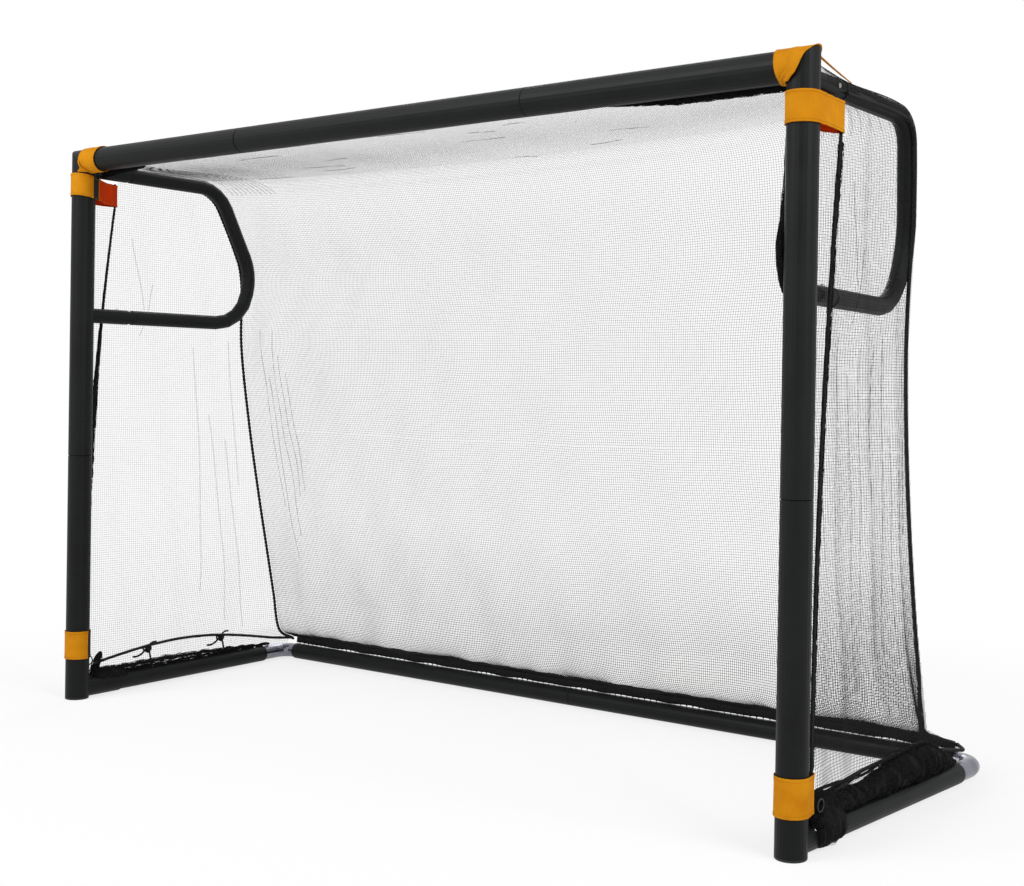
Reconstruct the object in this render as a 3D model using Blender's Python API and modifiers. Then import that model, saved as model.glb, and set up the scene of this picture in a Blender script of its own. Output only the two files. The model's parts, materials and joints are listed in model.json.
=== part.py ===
"""A portable football goal: plug-together steel tubes, spring buttons and a fine net.

Everything is in metres with +Z up. The mouth faces -Y, the crossbar runs along X and the
ground is at z = 0. Inside this file y = 0 is the axis of the posts; the empty that carries
the whole goal then moves it so that the middle of its footprint is the origin.
"""

import math

import bmesh
import bpy
from mathutils import Matrix, Vector

# Posts and crossbar
GOAL_WIDTH = 1.800  # over the outsides of the posts
GOAL_HEIGHT = 1.200
POST_DIAMETER = 0.050
TUBE_WALL = 0.0015
POST_SEAM_HEIGHT = 0.533  # where the upper post sits on the lower one
BAR_MIDDLE_LENGTH = 0.718  # between the two corner units

# Plug-in joints
FIT = 0.0003  # gap between a plug and its socket, and between pieces that touch
PLUG_LENGTH = 0.055
SHOULDER_LENGTH = 0.002  # over which a tube is swaged down to its plug
PIN_RADIUS = 0.004
PIN_CLEARANCE = 0.0004
PIN_PROUD = 0.003
LEAF_LENGTH = 0.028
LEAF_WIDTH = 0.008
LEAF_THICKNESS = 0.0008
RIVET_RADIUS = 0.0028
RIVET_PROUD = 0.0012

# Feet
CAP_HEIGHT = 0.004
CAP_PLUG_HEIGHT = 0.014

# Side loops that carry the net behind the top corners
LOOP_DIAMETER = 0.032
LOOP_TOP_DROP = 0.042  # upper arm's axis below the top of the goal
LOOP_SPAN = 0.319  # from the upper arm down to the lower one
LOOP_STUB_LENGTH = 0.110  # welded stub, from the post's axis
LOOP_BARE_LENGTH = 0.008  # bare plug that shows between stub and loop
LOOP_BUTTON_PLACE = 0.085  # from the post's axis
LOOP_TOP_REACH = 0.374
LOOP_REAR_REACH = 0.448
LOOP_REAR_RISE = 0.127  # rear bend above the lower arm
LOOP_LOW_REACH = 0.419
LOOP_LEAN = 0.038  # how far the net draws the lower rear of a loop inwards
LOOP_REAR_LEAN = 0.030
LOOP_TOP_BEND = 0.072
LOOP_REAR_BEND = 0.125
LOOP_LOW_BEND = 0.095
LOOP_PIN_SPACING = 0.0125  # rivet and button, each this far from the seam
LOOP_CONNECTOR_LENGTH = 0.054
LOOP_CONNECTOR_ROOM = 0.002  # straight tube left below the connector

# Ground frame
GROUND_DEPTH = 0.645  # rear tube's axis behind the posts' axis
REAR_SPREAD = 0.038  # how much further out the rear corners lie than the posts
SIDE_DIAMETER = 0.038
GROUND_STUB_LENGTH = 0.108
GROUND_BUTTON_PLACE = 0.045
SIDE_TUBE_START = 0.028
SIDE_TUBE_GAP = 0.085  # from the corner's axis to the side tube's end
REAR_TUBE_GAP = 0.040  # from the corner's axis to the rear tube's end
ELBOW_BEND = 0.030

# Net, cords, hems and ties
THREAD = 0.0025
SEAM_CORD_DIAMETER = 0.006
GROUND_CORD_DIAMETER = 0.005
CORD_TO_NET = 0.0005
SEAM_STANDOFF = 0.0005  # seam cord's surface off the loop's
SEAM_ANGLE = -25  # degrees above level, where the seam lies on the loop's outboard side
NET_ANGLES = (-11, 42, 95)  # degrees above level, where the roof and back pass over the loop
NET_STANDOFF = 0.0023  # the same threads' surface off the loop's
FRONT_NET_RADIUS = 0.024  # of the roof's first row, which clears the loop's spring button
FREE_NET_INSETS = (0.003, 0.012, 0.024)  # inboard of the seam, below the loop
FREE_NET_SETBACKS = (0.0037, 0.0055, 0.009)  # behind the seam
WIDE_COLUMNS = 8  # between the loops
FREE_ROWS = 5  # of the back net, between the loop and the foot of the seam
SIDE_COLUMNS = 4
SIDE_ROWS = 8
RIDGE_DROP = 0.030
RIDGE_SAG = 0.020
BACK_SAG = 0.035
BACK_HANG = 0.6  # how soon below the ridge the back hangs free, as a power
SEAM_FOOT_INSET = 0.029
SEAM_FOOT_SETBACK = 0.087
SEAM_FOOT_HEIGHT = 0.090
SEAM_BOW = 0.007
SEAM_FORWARD_BOW = 0.030
SEAM_END_HEIGHT = 0.050
SEAM_END_SETBACK = 0.006
SEAM_END_INSET = 0.033
FRONT_CORD_OUT = 0.0165
FRONT_CORD_TOP_REACH = 0.093
FRONT_CORD_LOW_REACH = 0.029
FRONT_CORD_BOTTOM = 0.070
FRONT_CORD_TO_NET = 0.0105
GROUND_CORD_START = 0.045
GROUND_CORD_END_SETBACK = 0.060
GROUND_CORD_HEIGHT = 0.062
GROUND_CORD_RISE = 0.028
GROUND_CORD_FALL = 0.006
GROUND_CORD_CHORD = 0.002  # room for the cord's arch between two columns of the net
HEM_THICKNESS = 0.0016
HEM_HEIGHT = 0.0245
BAR_HEM_HEIGHT = 0.026
BAR_HEM_END_GAP = 0.085  # from the post's axis to the hem's end
TIE_PLACES = {"left": (0.195, 0.420), "right": (0.113, 0.144)}
TIE_CORD_RADIUS = 0.0015
TIE_KNOT_RADIUS = 0.006

# Straps
STRAP_THICKNESS = 0.0016
STRAP_GAP = 0.0004
POST_STRAP_DROP = {"left": 0.001, "right": 0.007}  # top edge below the loop's arm
POST_STRAP_WIDTH = 0.048
FOOT_STRAP_WIDTH = 0.060
FOOT_STRAP_BOTTOM = {"left": 0.089, "right": 0.064}
BAR_STRAP_WIDTH = 0.0365  # on the crossbar's axis, from the mitre
BAR_STRAP_TAPER = 0.1  # how far its inner edge leans outwards, for each unit of drop
BAR_TAIL_WIDTH = 0.026
BAR_TAIL_OVER = 0.009  # how far the tail reaches past the middle of the loop's arm
BAR_TAIL_REACH = 0.108

# Facets
POST_SIDES = 24
LOOP_SIDES = 16
GROUND_SIDES = 20
CORD_SIDES = 6
PIN_SIDES = 10
BEND_STEPS = 4  # an even number

# What follows from the sizes above
POST_RADIUS = POST_DIAMETER / 2
LOOP_RADIUS = LOOP_DIAMETER / 2
SIDE_RADIUS = SIDE_DIAMETER / 2
POST_X = GOAL_WIDTH / 2 - POST_RADIUS
BAR_Z = GOAL_HEIGHT - POST_RADIUS
REAR_X = POST_X + REAR_SPREAD
BAR_SEAM_X = BAR_MIDDLE_LENGTH / 2
LOOP_TOP_HEIGHT = GOAL_HEIGHT - LOOP_TOP_DROP
LOOP_LOW_HEIGHT = LOOP_TOP_HEIGHT - LOOP_SPAN
LOOP_REAR_HEIGHT = LOOP_LOW_HEIGHT + LOOP_REAR_RISE
SIDE_TUBE_END = GROUND_DEPTH - SIDE_TUBE_GAP
SOCKET_RADIUS = SIDE_RADIUS + FIT + TUBE_WALL
PLUG_STEP = TUBE_WALL + FIT  # a plug's radius is this much under its tube's
ELBOW_RADIUS = SIDE_RADIUS - PLUG_STEP
SEAM_CORD_RADIUS = SEAM_CORD_DIAMETER / 2
GROUND_CORD_RADIUS = GROUND_CORD_DIAMETER / 2
FRONT_REACH = POST_RADIUS + STRAP_GAP + STRAP_THICKNESS
REAR_REACH = GROUND_DEPTH + SIDE_RADIUS + PIN_PROUD
POST_Y = (FRONT_REACH - REAR_REACH) / 2

SEAM_RADIUS = LOOP_RADIUS + SEAM_STANDOFF + SEAM_CORD_RADIUS  # round the loop's axis
NET_RADIUS = LOOP_RADIUS + NET_STANDOFF + THREAD / 2
NET_TO_SEAM = SEAM_CORD_RADIUS + THREAD / 2 + CORD_TO_NET
ROOF_FRONT = POST_RADIUS + FIT + HEM_THICKNESS + FIT + THREAD / 2
SEAM_HELD = BEND_STEPS + 1 + BEND_STEPS // 2 + 1  # loop points that the seam follows

SIDES = {"left": -1, "right": 1}
X_AXIS = Vector((1, 0, 0))
Y_AXIS = Vector((0, 1, 0))
Z_AXIS = Vector((0, 0, 1))


def clear_scene():
    for item in list(bpy.data.objects):
        bpy.data.objects.remove(item, do_unlink=True)


def new_collection(name):
    made = bpy.data.collections.new(name)
    bpy.context.scene.collection.children.link(made)
    return made


def new_material(name, colour, roughness, metallic=0.0):
    made = bpy.data.materials.new(name)
    made.use_nodes = True
    shader = made.node_tree.nodes["Principled BSDF"]
    shader.inputs["Base Color"].default_value = (*colour, 1.0)
    shader.inputs["Roughness"].default_value = roughness
    shader.inputs["Metallic"].default_value = metallic
    made.diffuse_color = (*colour, 1.0)
    return made


clear_scene()
PARTS = new_collection("soccer_goal")
CUTTERS = new_collection("cutters")
CARRIER = bpy.data.objects.new("goal_carrier", None)
CARRIER.location = (0, POST_Y, 0)
PARTS.objects.link(CARRIER)

BLACK_COAT = new_material("black_powder_coat", (0.017, 0.018, 0.018), 0.42, 0.0)
BARE_STEEL = new_material("bare_steel", (0.58, 0.58, 0.62), 0.28, 1.0)
SPRING_STEEL = new_material("spring_steel", (0.50, 0.50, 0.50), 0.35, 1.0)
BLACK_PLASTIC = new_material("black_plastic", (0.012, 0.012, 0.012), 0.55)
NET_THREAD = new_material("black_net_thread", (0.010, 0.010, 0.012), 0.80)
WEBBING = new_material("black_webbing", (0.010, 0.010, 0.013), 0.85)
STRAP_WEB = new_material("orange_strap", (0.76, 0.30, 0.011), 0.75)


def add_part(name, mesh, material, matrix=None):
    """Puts a mesh into the goal as one named piece.

    Its place is given in the frame whose y = 0 is the posts' axis."""
    part = bpy.data.objects.new(name, mesh)
    PARTS.objects.link(part)
    mesh.materials.clear()
    mesh.materials.append(material)
    part.parent = CARRIER
    if matrix is not None:
        part.matrix_local = matrix
    return part


def add_cutter(name, mesh, matrix=None):
    cutter = bpy.data.objects.new(name, mesh)
    CUTTERS.objects.link(cutter)
    cutter.parent = CARRIER
    cutter.hide_render = True
    cutter.display_type = "WIRE"
    if matrix is not None:
        cutter.matrix_local = matrix
    return cutter


def boolean(part, other, operation):
    modifier = part.modifiers.new(f"{operation.lower()}_{other.name}", "BOOLEAN")
    modifier.operation = operation
    modifier.object = other
    modifier.solver = "EXACT"


def smooth(mesh, angle=35):
    mesh.shade_smooth()
    mesh.set_sharp_from_angle(angle=math.radians(angle))


def axes_matrix(place, along, up):
    """A placement whose local X lies along a direction and whose local Z points up."""
    x = along.normalized()
    z = (up - up.dot(x) * x).normalized()
    turned = Matrix((x, z.cross(x), z)).transposed().to_4x4()
    return Matrix.Translation(place) @ turned


def tube_mesh(name, points, radius, sides, caps, radii=None):
    """The skin of a tube that follows the points; radii gives each point its own radius."""
    curve = bpy.data.curves.new(name, "CURVE")
    curve.dimensions = "3D"
    curve.bevel_depth = radius
    curve.bevel_resolution = (sides - 4) // 2
    curve.use_fill_caps = caps
    spline = curve.splines.new("POLY")
    spline.points.add(len(points) - 1)
    for number, (point, place) in enumerate(zip(spline.points, points)):
        point.co = (*place, 1.0)
        if radii:
            point.radius = radii[number] / radius
    guide = bpy.data.objects.new(name, curve)
    bpy.context.scene.collection.objects.link(guide)
    graph = bpy.context.evaluated_depsgraph_get()
    mesh = bpy.data.meshes.new_from_object(guide.evaluated_get(graph))
    bpy.data.objects.remove(guide)
    bpy.data.curves.remove(curve)
    work = bmesh.new()
    work.from_mesh(mesh)
    bmesh.ops.remove_doubles(work, verts=work.verts, dist=0.00001)
    bmesh.ops.recalc_face_normals(work, faces=work.faces)
    work.to_mesh(mesh)
    work.free()
    mesh.name = name
    smooth(mesh)
    return mesh


def hollow(part, wall):
    """Gives an open skin its wall, on the inside."""
    modifier = part.modifiers.new("wall", "SOLIDIFY")
    modifier.thickness = wall
    modifier.offset = -1
    modifier.use_even_offset = True
    modifier.use_rim = True


def pipe(name, points, radius, sides, material, radii=None):
    part = add_part(name, tube_mesh(name, points, radius, sides, False, radii), material)
    hollow(part, TUBE_WALL)
    return part


def rod(name, start, end, radius, sides):
    """A solid round bar, kept as a cutter or as a piece to join on."""
    return add_cutter(name, tube_mesh(name, [start, end], radius, sides, True))


def bend_reach(before, corner, after, bend):
    """How far from its corner an arc of this radius starts."""
    return bend / math.tan((before - corner).angle(after - corner) / 2)


def rounded_path(corners, bends):
    """Points along straight runs joined by arcs, one bend radius for each inner corner."""
    points = [corners[0]]
    for before, corner, after, bend in zip(corners, corners[1:], corners[2:], bends):
        towards = (before - corner).normalized()
        away = (after - corner).normalized()
        half = towards.angle(away) / 2
        reach = bend_reach(before, corner, after, bend)
        centre = corner + (towards + away).normalized() * (bend / math.sin(half))
        first = corner + towards * reach - centre
        last = corner + away * reach - centre
        sweep = first.angle(last)
        for step in range(BEND_STEPS + 1):
            share = step / BEND_STEPS
            turned = (
                first * math.sin((1 - share) * sweep) + last * math.sin(share * sweep)
            ) / math.sin(sweep)
            points.append(centre + turned)
    points.append(corners[-1])
    return points


def along(points, share):
    """The point at this share of a line's length."""
    lengths = [(b - a).length for a, b in zip(points, points[1:])]
    left = share * sum(lengths)
    for start, end, length in zip(points, points[1:], lengths):
        if left <= length:
            return start.lerp(end, left / length)
        left -= length
    return points[-1].copy()


# Where the tubes run


def post_point(side, height):
    return Vector((SIDES[side] * POST_X, 0, height))


def loop_corners(side):
    """The loop's axis as a polygon: post, top bend, rear bend, low bend, post."""
    out = SIDES[side]
    return [
        post_point(side, LOOP_TOP_HEIGHT),
        Vector((out * POST_X, LOOP_TOP_REACH, LOOP_TOP_HEIGHT)),
        Vector((out * (POST_X - LOOP_REAR_LEAN), LOOP_REAR_REACH, LOOP_REAR_HEIGHT)),
        Vector((out * (POST_X - LOOP_LEAN), LOOP_LOW_REACH, LOOP_LOW_HEIGHT)),
        post_point(side, LOOP_LOW_HEIGHT),
    ]


def loop_seam(side):
    """The point on the rear run where the loop's halves meet, just above the rear bend."""
    top, rear, low = loop_corners(side)[1:4]
    bend_top = bend_reach(top, rear, low, LOOP_REAR_BEND)
    climb = bend_top + LOOP_CONNECTOR_ROOM + LOOP_CONNECTOR_LENGTH / 2
    return rear + (top - rear).normalized() * climb


def loop_path(side):
    return rounded_path(loop_corners(side), (LOOP_TOP_BEND, LOOP_REAR_BEND, LOOP_LOW_BEND))


def side_axis_start(side):
    return post_point(side, SOCKET_RADIUS + 2 * FIT)


def rear_corner(side):
    return Vector((SIDES[side] * REAR_X, GROUND_DEPTH, SIDE_RADIUS))


def side_direction(side):
    return (rear_corner(side) - side_axis_start(side)).normalized()


def side_axis(side, reach):
    """The side tube's axis at this distance behind the posts."""
    start = side_axis_start(side)
    return start.lerp(rear_corner(side), reach / GROUND_DEPTH)


# Rigid frame


def stub(name, start, direction, length, radius, sides):
    """A short tube, coped to fit the back of a post, for a plug to go into."""
    body = rod(name, start, start + direction * length, radius, sides)
    drop = Z_AXIS * (radius * 2)
    cope = rod(name + "_cope", start - drop, start + drop, POST_RADIUS - TUBE_WALL / 2,
               POST_SIDES)
    near = start + direction * (POST_RADIUS + TUBE_WALL)
    far = start + direction * (length * 1.5)
    bore = rod(name + "_bore", near, far, radius - TUBE_WALL, sides)
    boolean(body, cope, "DIFFERENCE")
    boolean(body, bore, "DIFFERENCE")
    return body


def corner_mesh(name):
    """The skin of the right-hand corner: a post leg and a bar leg, mitred and welded."""
    work = bmesh.new()
    post_length = BAR_Z + POST_DIAMETER - POST_SEAM_HEIGHT - FIT
    bar_length = POST_X + POST_DIAMETER - BAR_SEAM_X - FIT
    post_middle = POST_SEAM_HEIGHT + FIT + post_length / 2
    bar_middle = BAR_SEAM_X + FIT + bar_length / 2
    corner = Vector((POST_X, 0, BAR_Z))
    legs = (
        (Matrix.Translation((POST_X, 0, post_middle)), post_length, Vector((-1, 0, 1))),
        (
            Matrix.Translation((bar_middle, 0, BAR_Z)) @ Matrix.Rotation(math.pi / 2, 4, "Y"),
            bar_length,
            Vector((1, 0, -1)),
        ),
    )
    for matrix, length, beyond in legs:
        leg = bmesh.new()
        bmesh.ops.create_cone(
            leg, segments=POST_SIDES, radius1=POST_RADIUS, radius2=POST_RADIUS, depth=length
        )
        leg.transform(matrix)
        everything = leg.verts[:] + leg.edges[:] + leg.faces[:]
        bmesh.ops.bisect_plane(
            leg, geom=everything, plane_co=corner, plane_no=beyond, clear_outer=True
        )
        piece = bpy.data.meshes.new(name + "_leg")
        leg.to_mesh(piece)
        leg.free()
        work.from_mesh(piece)
        bpy.data.meshes.remove(piece)
    bmesh.ops.remove_doubles(work, verts=work.verts, dist=0.00002)
    mesh = bpy.data.meshes.new(name)
    work.to_mesh(mesh)
    work.free()
    return mesh


def mirror_to_left(mesh):
    work = bmesh.new()
    work.from_mesh(mesh)
    work.transform(Matrix.Scale(-1, 4, X_AXIS))
    bmesh.ops.reverse_faces(work, faces=work.faces)
    work.to_mesh(mesh)
    work.free()


def corner_unit(side):
    """Upper post and crossbar end in one welded piece, with the loop's two stubs."""
    name = f"{side}_corner_unit"
    mesh = corner_mesh(name)
    if side == "left":
        mirror_to_left(mesh)
    smooth(mesh)
    part = add_part(name, mesh, BLACK_COAT)
    hollow(part, TUBE_WALL)
    corners = loop_corners(side)
    for word, start, after in (
        ("top", corners[0], corners[1]),
        ("low", corners[4], corners[3]),
    ):
        direction = (after - start).normalized()
        made = stub(
            f"{side}_{word}_stub", start, direction, LOOP_STUB_LENGTH, LOOP_RADIUS,
            LOOP_SIDES,
        )
        boolean(part, made, "UNION")
    return part


def crossbar_middle():
    """The middle of the crossbar, with a plug at each end."""
    end = BAR_SEAM_X
    inner = POST_RADIUS - PLUG_STEP
    stations = (
        (-end - PLUG_LENGTH, inner),
        (-end, inner),
        (-end + SHOULDER_LENGTH, POST_RADIUS),
        (end - SHOULDER_LENGTH, POST_RADIUS),
        (end, inner),
        (end + PLUG_LENGTH, inner),
    )
    points = [Vector((x, 0, BAR_Z)) for x, _ in stations]
    radii = [radius for _, radius in stations]
    return pipe("crossbar_middle", points, POST_RADIUS, POST_SIDES, BLACK_COAT, radii)


def lower_post(side):
    """The lower post: a plug on top, and the ground frame's stub at its foot."""
    inner = POST_RADIUS - PLUG_STEP
    seam = POST_SEAM_HEIGHT
    stations = (
        (0.0, POST_RADIUS),
        (seam - SHOULDER_LENGTH, POST_RADIUS),
        (seam, inner),
        (seam + PLUG_LENGTH, inner),
    )
    points = [post_point(side, height) for height, _ in stations]
    radii = [radius for _, radius in stations]
    name = f"{side}_lower_post"
    part = pipe(name, points, POST_RADIUS, POST_SIDES, BLACK_COAT, radii)
    made = stub(
        f"{side}_ground_stub", side_axis_start(side), side_direction(side),
        GROUND_STUB_LENGTH, SOCKET_RADIUS, GROUND_SIDES,
    )
    boolean(part, made, "UNION")
    below = post_point(side, -CAP_HEIGHT)
    above = post_point(side, CAP_HEIGHT + FIT)
    trim = rod(f"{side}_foot_trim", below, above, POST_RADIUS + FIT, POST_SIDES)
    boolean(part, trim, "DIFFERENCE")
    return part


def turned(name, profile, material, matrix, steps):
    """A turned piece from (radius, height) points that run from its top to its bottom."""
    mesh = bpy.data.meshes.new(name)
    work = bmesh.new()
    points = [work.verts.new((radius, 0, height)) for radius, height in profile]
    for first, second in zip(points, points[1:]):
        work.edges.new((first, second))
    work.to_mesh(mesh)
    work.free()
    part = add_part(name, mesh, material, matrix)
    modifier = part.modifiers.new("turn", "SCREW")
    modifier.steps = steps
    modifier.render_steps = steps
    modifier.use_merge_vertices = True
    modifier.merge_threshold = 0.00005
    modifier.use_smooth_shade = True
    return part


def foot_cap(side):
    """The plastic plug that closes a post's foot."""
    plug = POST_RADIUS - TUBE_WALL - FIT
    top = CAP_HEIGHT + CAP_PLUG_HEIGHT
    edge = CAP_HEIGHT / 4
    profile = (
        (0, top),
        (plug - edge, top),
        (plug, top - edge),
        (plug, CAP_HEIGHT),
        (POST_RADIUS, CAP_HEIGHT),
        (POST_RADIUS, edge),
        (POST_RADIUS - edge, 0),
        (0, 0),
    )
    place = Matrix.Translation(post_point(side, 0))
    return turned(f"{side}_foot_cap", profile, BLACK_PLASTIC, place, POST_SIDES)


def loop_half(side, word):
    """One half of a side loop: a bent tube with a plug for the post's stub."""
    corners = loop_corners(side)
    seam = loop_seam(side)
    if word == "upper":
        run = rounded_path([corners[0], corners[1], seam], (LOOP_TOP_BEND,))
    else:
        run = rounded_path(
            [corners[4], corners[3], corners[2], seam], (LOOP_LOW_BEND, LOOP_REAR_BEND)
        )
    start = run[0]
    direction = (run[1] - start).normalized()
    last = run[-1] - run[-2]
    run[-1] = run[-2] + last * (1 - FIT / last.length)
    inner = LOOP_RADIUS - PLUG_STEP
    shoulder = LOOP_STUB_LENGTH + LOOP_BARE_LENGTH
    lead = (
        (LOOP_STUB_LENGTH - PLUG_LENGTH, inner),
        (shoulder, inner),
        (shoulder + SHOULDER_LENGTH, LOOP_RADIUS),
    )
    points = [start + direction * distance for distance, _ in lead] + run[1:]
    radii = [radius for _, radius in lead] + [LOOP_RADIUS] * (len(run) - 1)
    name = f"{side}_loop_{word}"
    return pipe(name, points, LOOP_RADIUS, LOOP_SIDES, BLACK_COAT, radii)


def loop_connector(side, upper_half):
    """The inner tube that joins a loop's halves, riveted to the upper one."""
    corners = loop_corners(side)
    seam = loop_seam(side)
    up = (corners[1] - corners[2]).normalized()
    half = up * (LOOP_CONNECTOR_LENGTH / 2)
    radius = LOOP_RADIUS - PLUG_STEP
    name = f"{side}_loop_connector"
    part = pipe(name, [seam - half, seam + half], radius, LOOP_SIDES, BARE_STEEL)
    place = seam + up * LOOP_PIN_SPACING
    outward = X_AXIS * SIDES[side]
    outward = (outward - outward.dot(up) * up).normalized()
    foot = place + outward * (radius - TUBE_WALL / 2)
    head = place + outward * (LOOP_RADIUS + RIVET_PROUD)
    rivet = rod(f"{side}_rivet", foot, head, RIVET_RADIUS, PIN_SIDES)
    boolean(part, rivet, "UNION")
    hole = rod(f"{side}_rivet_hole", foot, head + outward * TUBE_WALL,
               RIVET_RADIUS + FIT, PIN_SIDES)
    boolean(upper_half, hole, "DIFFERENCE")
    return part


def side_tube(side):
    points = [side_axis(side, SIDE_TUBE_START), side_axis(side, SIDE_TUBE_END)]
    return pipe(f"{side}_side_tube", points, SIDE_RADIUS, GROUND_SIDES, BLACK_COAT)


def elbow(side):
    """The bare steel corner that plugs into the side tube and the rear tube."""
    corner = rear_corner(side)
    reach = (GROUND_DEPTH - SIDE_TUBE_END) / side_direction(side).y + PLUG_LENGTH
    front = corner - side_direction(side) * reach
    inward = X_AXIS * -SIDES[side]
    end = corner + inward * (REAR_TUBE_GAP + PLUG_LENGTH)
    points = rounded_path([front, corner, end], (ELBOW_BEND,))
    return pipe(f"{side}_elbow", points, ELBOW_RADIUS, GROUND_SIDES, BARE_STEEL)


def rear_tube_halves():
    """The rear ground tube: the left half plugs into the right one in the middle."""
    end = REAR_X - REAR_TUBE_GAP
    stations = (
        (-end, SIDE_RADIUS),
        (-SHOULDER_LENGTH, SIDE_RADIUS),
        (0.0, ELBOW_RADIUS),
        (PLUG_LENGTH, ELBOW_RADIUS),
    )
    points = [Vector((x, GROUND_DEPTH, SIDE_RADIUS)) for x, _ in stations]
    radii = [radius for _, radius in stations]
    left = pipe("left_rear_tube", points, SIDE_RADIUS, GROUND_SIDES, BLACK_COAT, radii)
    points = [Vector((x, GROUND_DEPTH, SIDE_RADIUS)) for x in (FIT, end)]
    right = pipe("right_rear_tube", points, SIDE_RADIUS, GROUND_SIDES, BLACK_COAT)
    return left, right


# Spring buttons


def spring_button(name, place, tube_direction, outward, tube_radius, plug_radius, cut):
    """A domed pin on a leaf spring inside a plug, standing out through both tubes.

    Its origin is on the tube's axis and its local Z is the way it travels. cut lists the
    two tubes that get its hole."""
    bore = (plug_radius - TUBE_WALL) * math.cos(math.pi / LOOP_SIDES)
    seat = math.sqrt(bore**2 - (LEAF_WIDTH / 2) ** 2) - FIT
    top = tube_radius + PIN_PROUD
    dome = PIN_PROUD / 2
    matrix = axes_matrix(place, tube_direction, outward)
    profile = (
        (0, top),
        (PIN_RADIUS * 0.55, top - dome * 0.15),
        (PIN_RADIUS * 0.88, top - dome * 0.5),
        (PIN_RADIUS, top - dome),
        (PIN_RADIUS, seat - LEAF_THICKNESS / 2),
        (0, seat - LEAF_THICKNESS / 2),
    )
    part = turned(name, profile, SPRING_STEEL, matrix, PIN_SIDES)
    leaf = bpy.data.meshes.new(name + "_leaf")
    work = bmesh.new()
    size = Matrix.Diagonal((LEAF_LENGTH, LEAF_WIDTH, LEAF_THICKNESS, 1))
    sunk = Matrix.Translation((0, 0, seat - LEAF_THICKNESS / 2))
    bmesh.ops.create_cube(work, size=1, matrix=sunk @ size)
    work.to_mesh(leaf)
    work.free()
    boolean(part, add_cutter(name + "_leaf", leaf, matrix), "UNION")
    way = (matrix.to_3x3() @ Z_AXIS).normalized()
    start = place + way * (seat - LEAF_THICKNESS)
    end = place + way * (top + PIN_PROUD)
    hole = rod(name + "_hole", start, end, PIN_RADIUS + PIN_CLEARANCE, PIN_SIDES)
    for tube in cut:
        boolean(tube, hole, "DIFFERENCE")
    return part


# Net, cords, hems, ties and straps


def path_frames(points):
    """Each point of a loop's axis, with the directions towards +X and out of the loop there."""
    frames = []
    for number, point in enumerate(points):
        before = points[max(number - 1, 0)]
        after = points[min(number + 1, len(points) - 1)]
        heading = (after - before).normalized()
        outward = X_AXIS.cross(heading).normalized()
        frames.append((point, heading.cross(outward), outward))
    return frames


def held_frames(side):
    """The part of the loop's axis that the net passes over, from the stub's end."""
    start = post_point(side, LOOP_TOP_HEIGHT) + Y_AXIS * LOOP_STUB_LENGTH
    return path_frames([start] + loop_path(side)[1 : SEAM_HELD + 2])[:-1]


def round_loop(side, frame, angle, radius):
    """A point beside the loop's axis, this many degrees above level on the outboard side."""
    point, level, outward = frame
    turn = math.radians(angle)
    return point + (level * SIDES[side] * math.cos(turn) + outward * math.sin(turn)) * radius


def seam_line(side):
    """The seam cord's axis, from the upper arm to the rear corner of the ground frame.

    It lies on the outboard side of the loop and leaves it on the rear bend."""
    out = X_AXIS * SIDES[side]
    line = [round_loop(side, frame, SEAM_ANGLE, SEAM_RADIUS) for frame in held_frames(side)]
    top = line[-1]
    foot = Vector((
        SIDES[side] * (POST_X - SEAM_FOOT_INSET),
        GROUND_DEPTH - SEAM_FOOT_SETBACK,
        SEAM_FOOT_HEIGHT,
    ))
    for step in range(1, FREE_ROWS + 1):
        share = step / FREE_ROWS
        inward = SEAM_BOW * 4 * share * (1 - share)
        forward = SEAM_FORWARD_BOW * math.sin(math.pi * share**0.7)
        line.append(top.lerp(foot, share) - out * inward - Y_AXIS * forward)
    end = rear_corner(side) - Y_AXIS * SEAM_END_SETBACK
    end.z = SEAM_END_HEIGHT
    end.x -= SIDES[side] * SEAM_END_INSET
    return line + [end]


def post_strap_top(side):
    return LOOP_TOP_HEIGHT - LOOP_RADIUS - POST_STRAP_DROP[side]


def front_cord_reach(height):
    """How far behind the post's axis the net's front edge lies at this height."""
    low = max(FOOT_STRAP_BOTTOM.values()) + FOOT_STRAP_WIDTH
    high = post_strap_top("right") - POST_STRAP_WIDTH
    share = (height - low) / (high - low)
    share = min(max(share, 0), 1)
    return FRONT_CORD_LOW_REACH + (FRONT_CORD_TOP_REACH - FRONT_CORD_LOW_REACH) * share**2


def front_cord_line(side, bottom, top, steps, back=0.0):
    points = []
    for step in range(steps + 1):
        height = bottom + (top - bottom) * step / steps
        x = SIDES[side] * (POST_X + FRONT_CORD_OUT)
        points.append(Vector((x, front_cord_reach(height) + back, height)))
    return points


def ground_cord_line(side, steps=2 * SIDE_COLUMNS):
    """The cord that gathers the foot of a side net, a little above the side tube."""
    end = GROUND_DEPTH - GROUND_CORD_END_SETBACK
    points = []
    for step in range(steps + 1):
        share = step / steps
        reach = GROUND_CORD_START + (end - GROUND_CORD_START) * share
        rise = GROUND_CORD_RISE * math.sin(math.pi * share)
        height = GROUND_CORD_HEIGHT + rise - GROUND_CORD_FALL * share
        points.append(Vector((side_axis(side, reach).x, reach, height)))
    return points


def net_part(name, columns, rows, place):
    """A net of square knots: a grid whose points are placed by a function of (u, v)."""
    mesh = bpy.data.meshes.new(name)
    work = bmesh.new()
    bmesh.ops.create_grid(work, x_segments=columns, y_segments=rows, size=1)
    for vert in work.verts:
        vert.co = place((vert.co.x + 1) / 2, (1 - vert.co.y) / 2)
    work.to_mesh(mesh)
    work.free()
    part = add_part(name, mesh, NET_THREAD)
    modifier = part.modifiers.new("threads", "WIREFRAME")
    modifier.thickness = THREAD
    modifier.use_even_offset = True
    modifier.use_boundary = True
    modifier.use_replace = True
    return part


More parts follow.
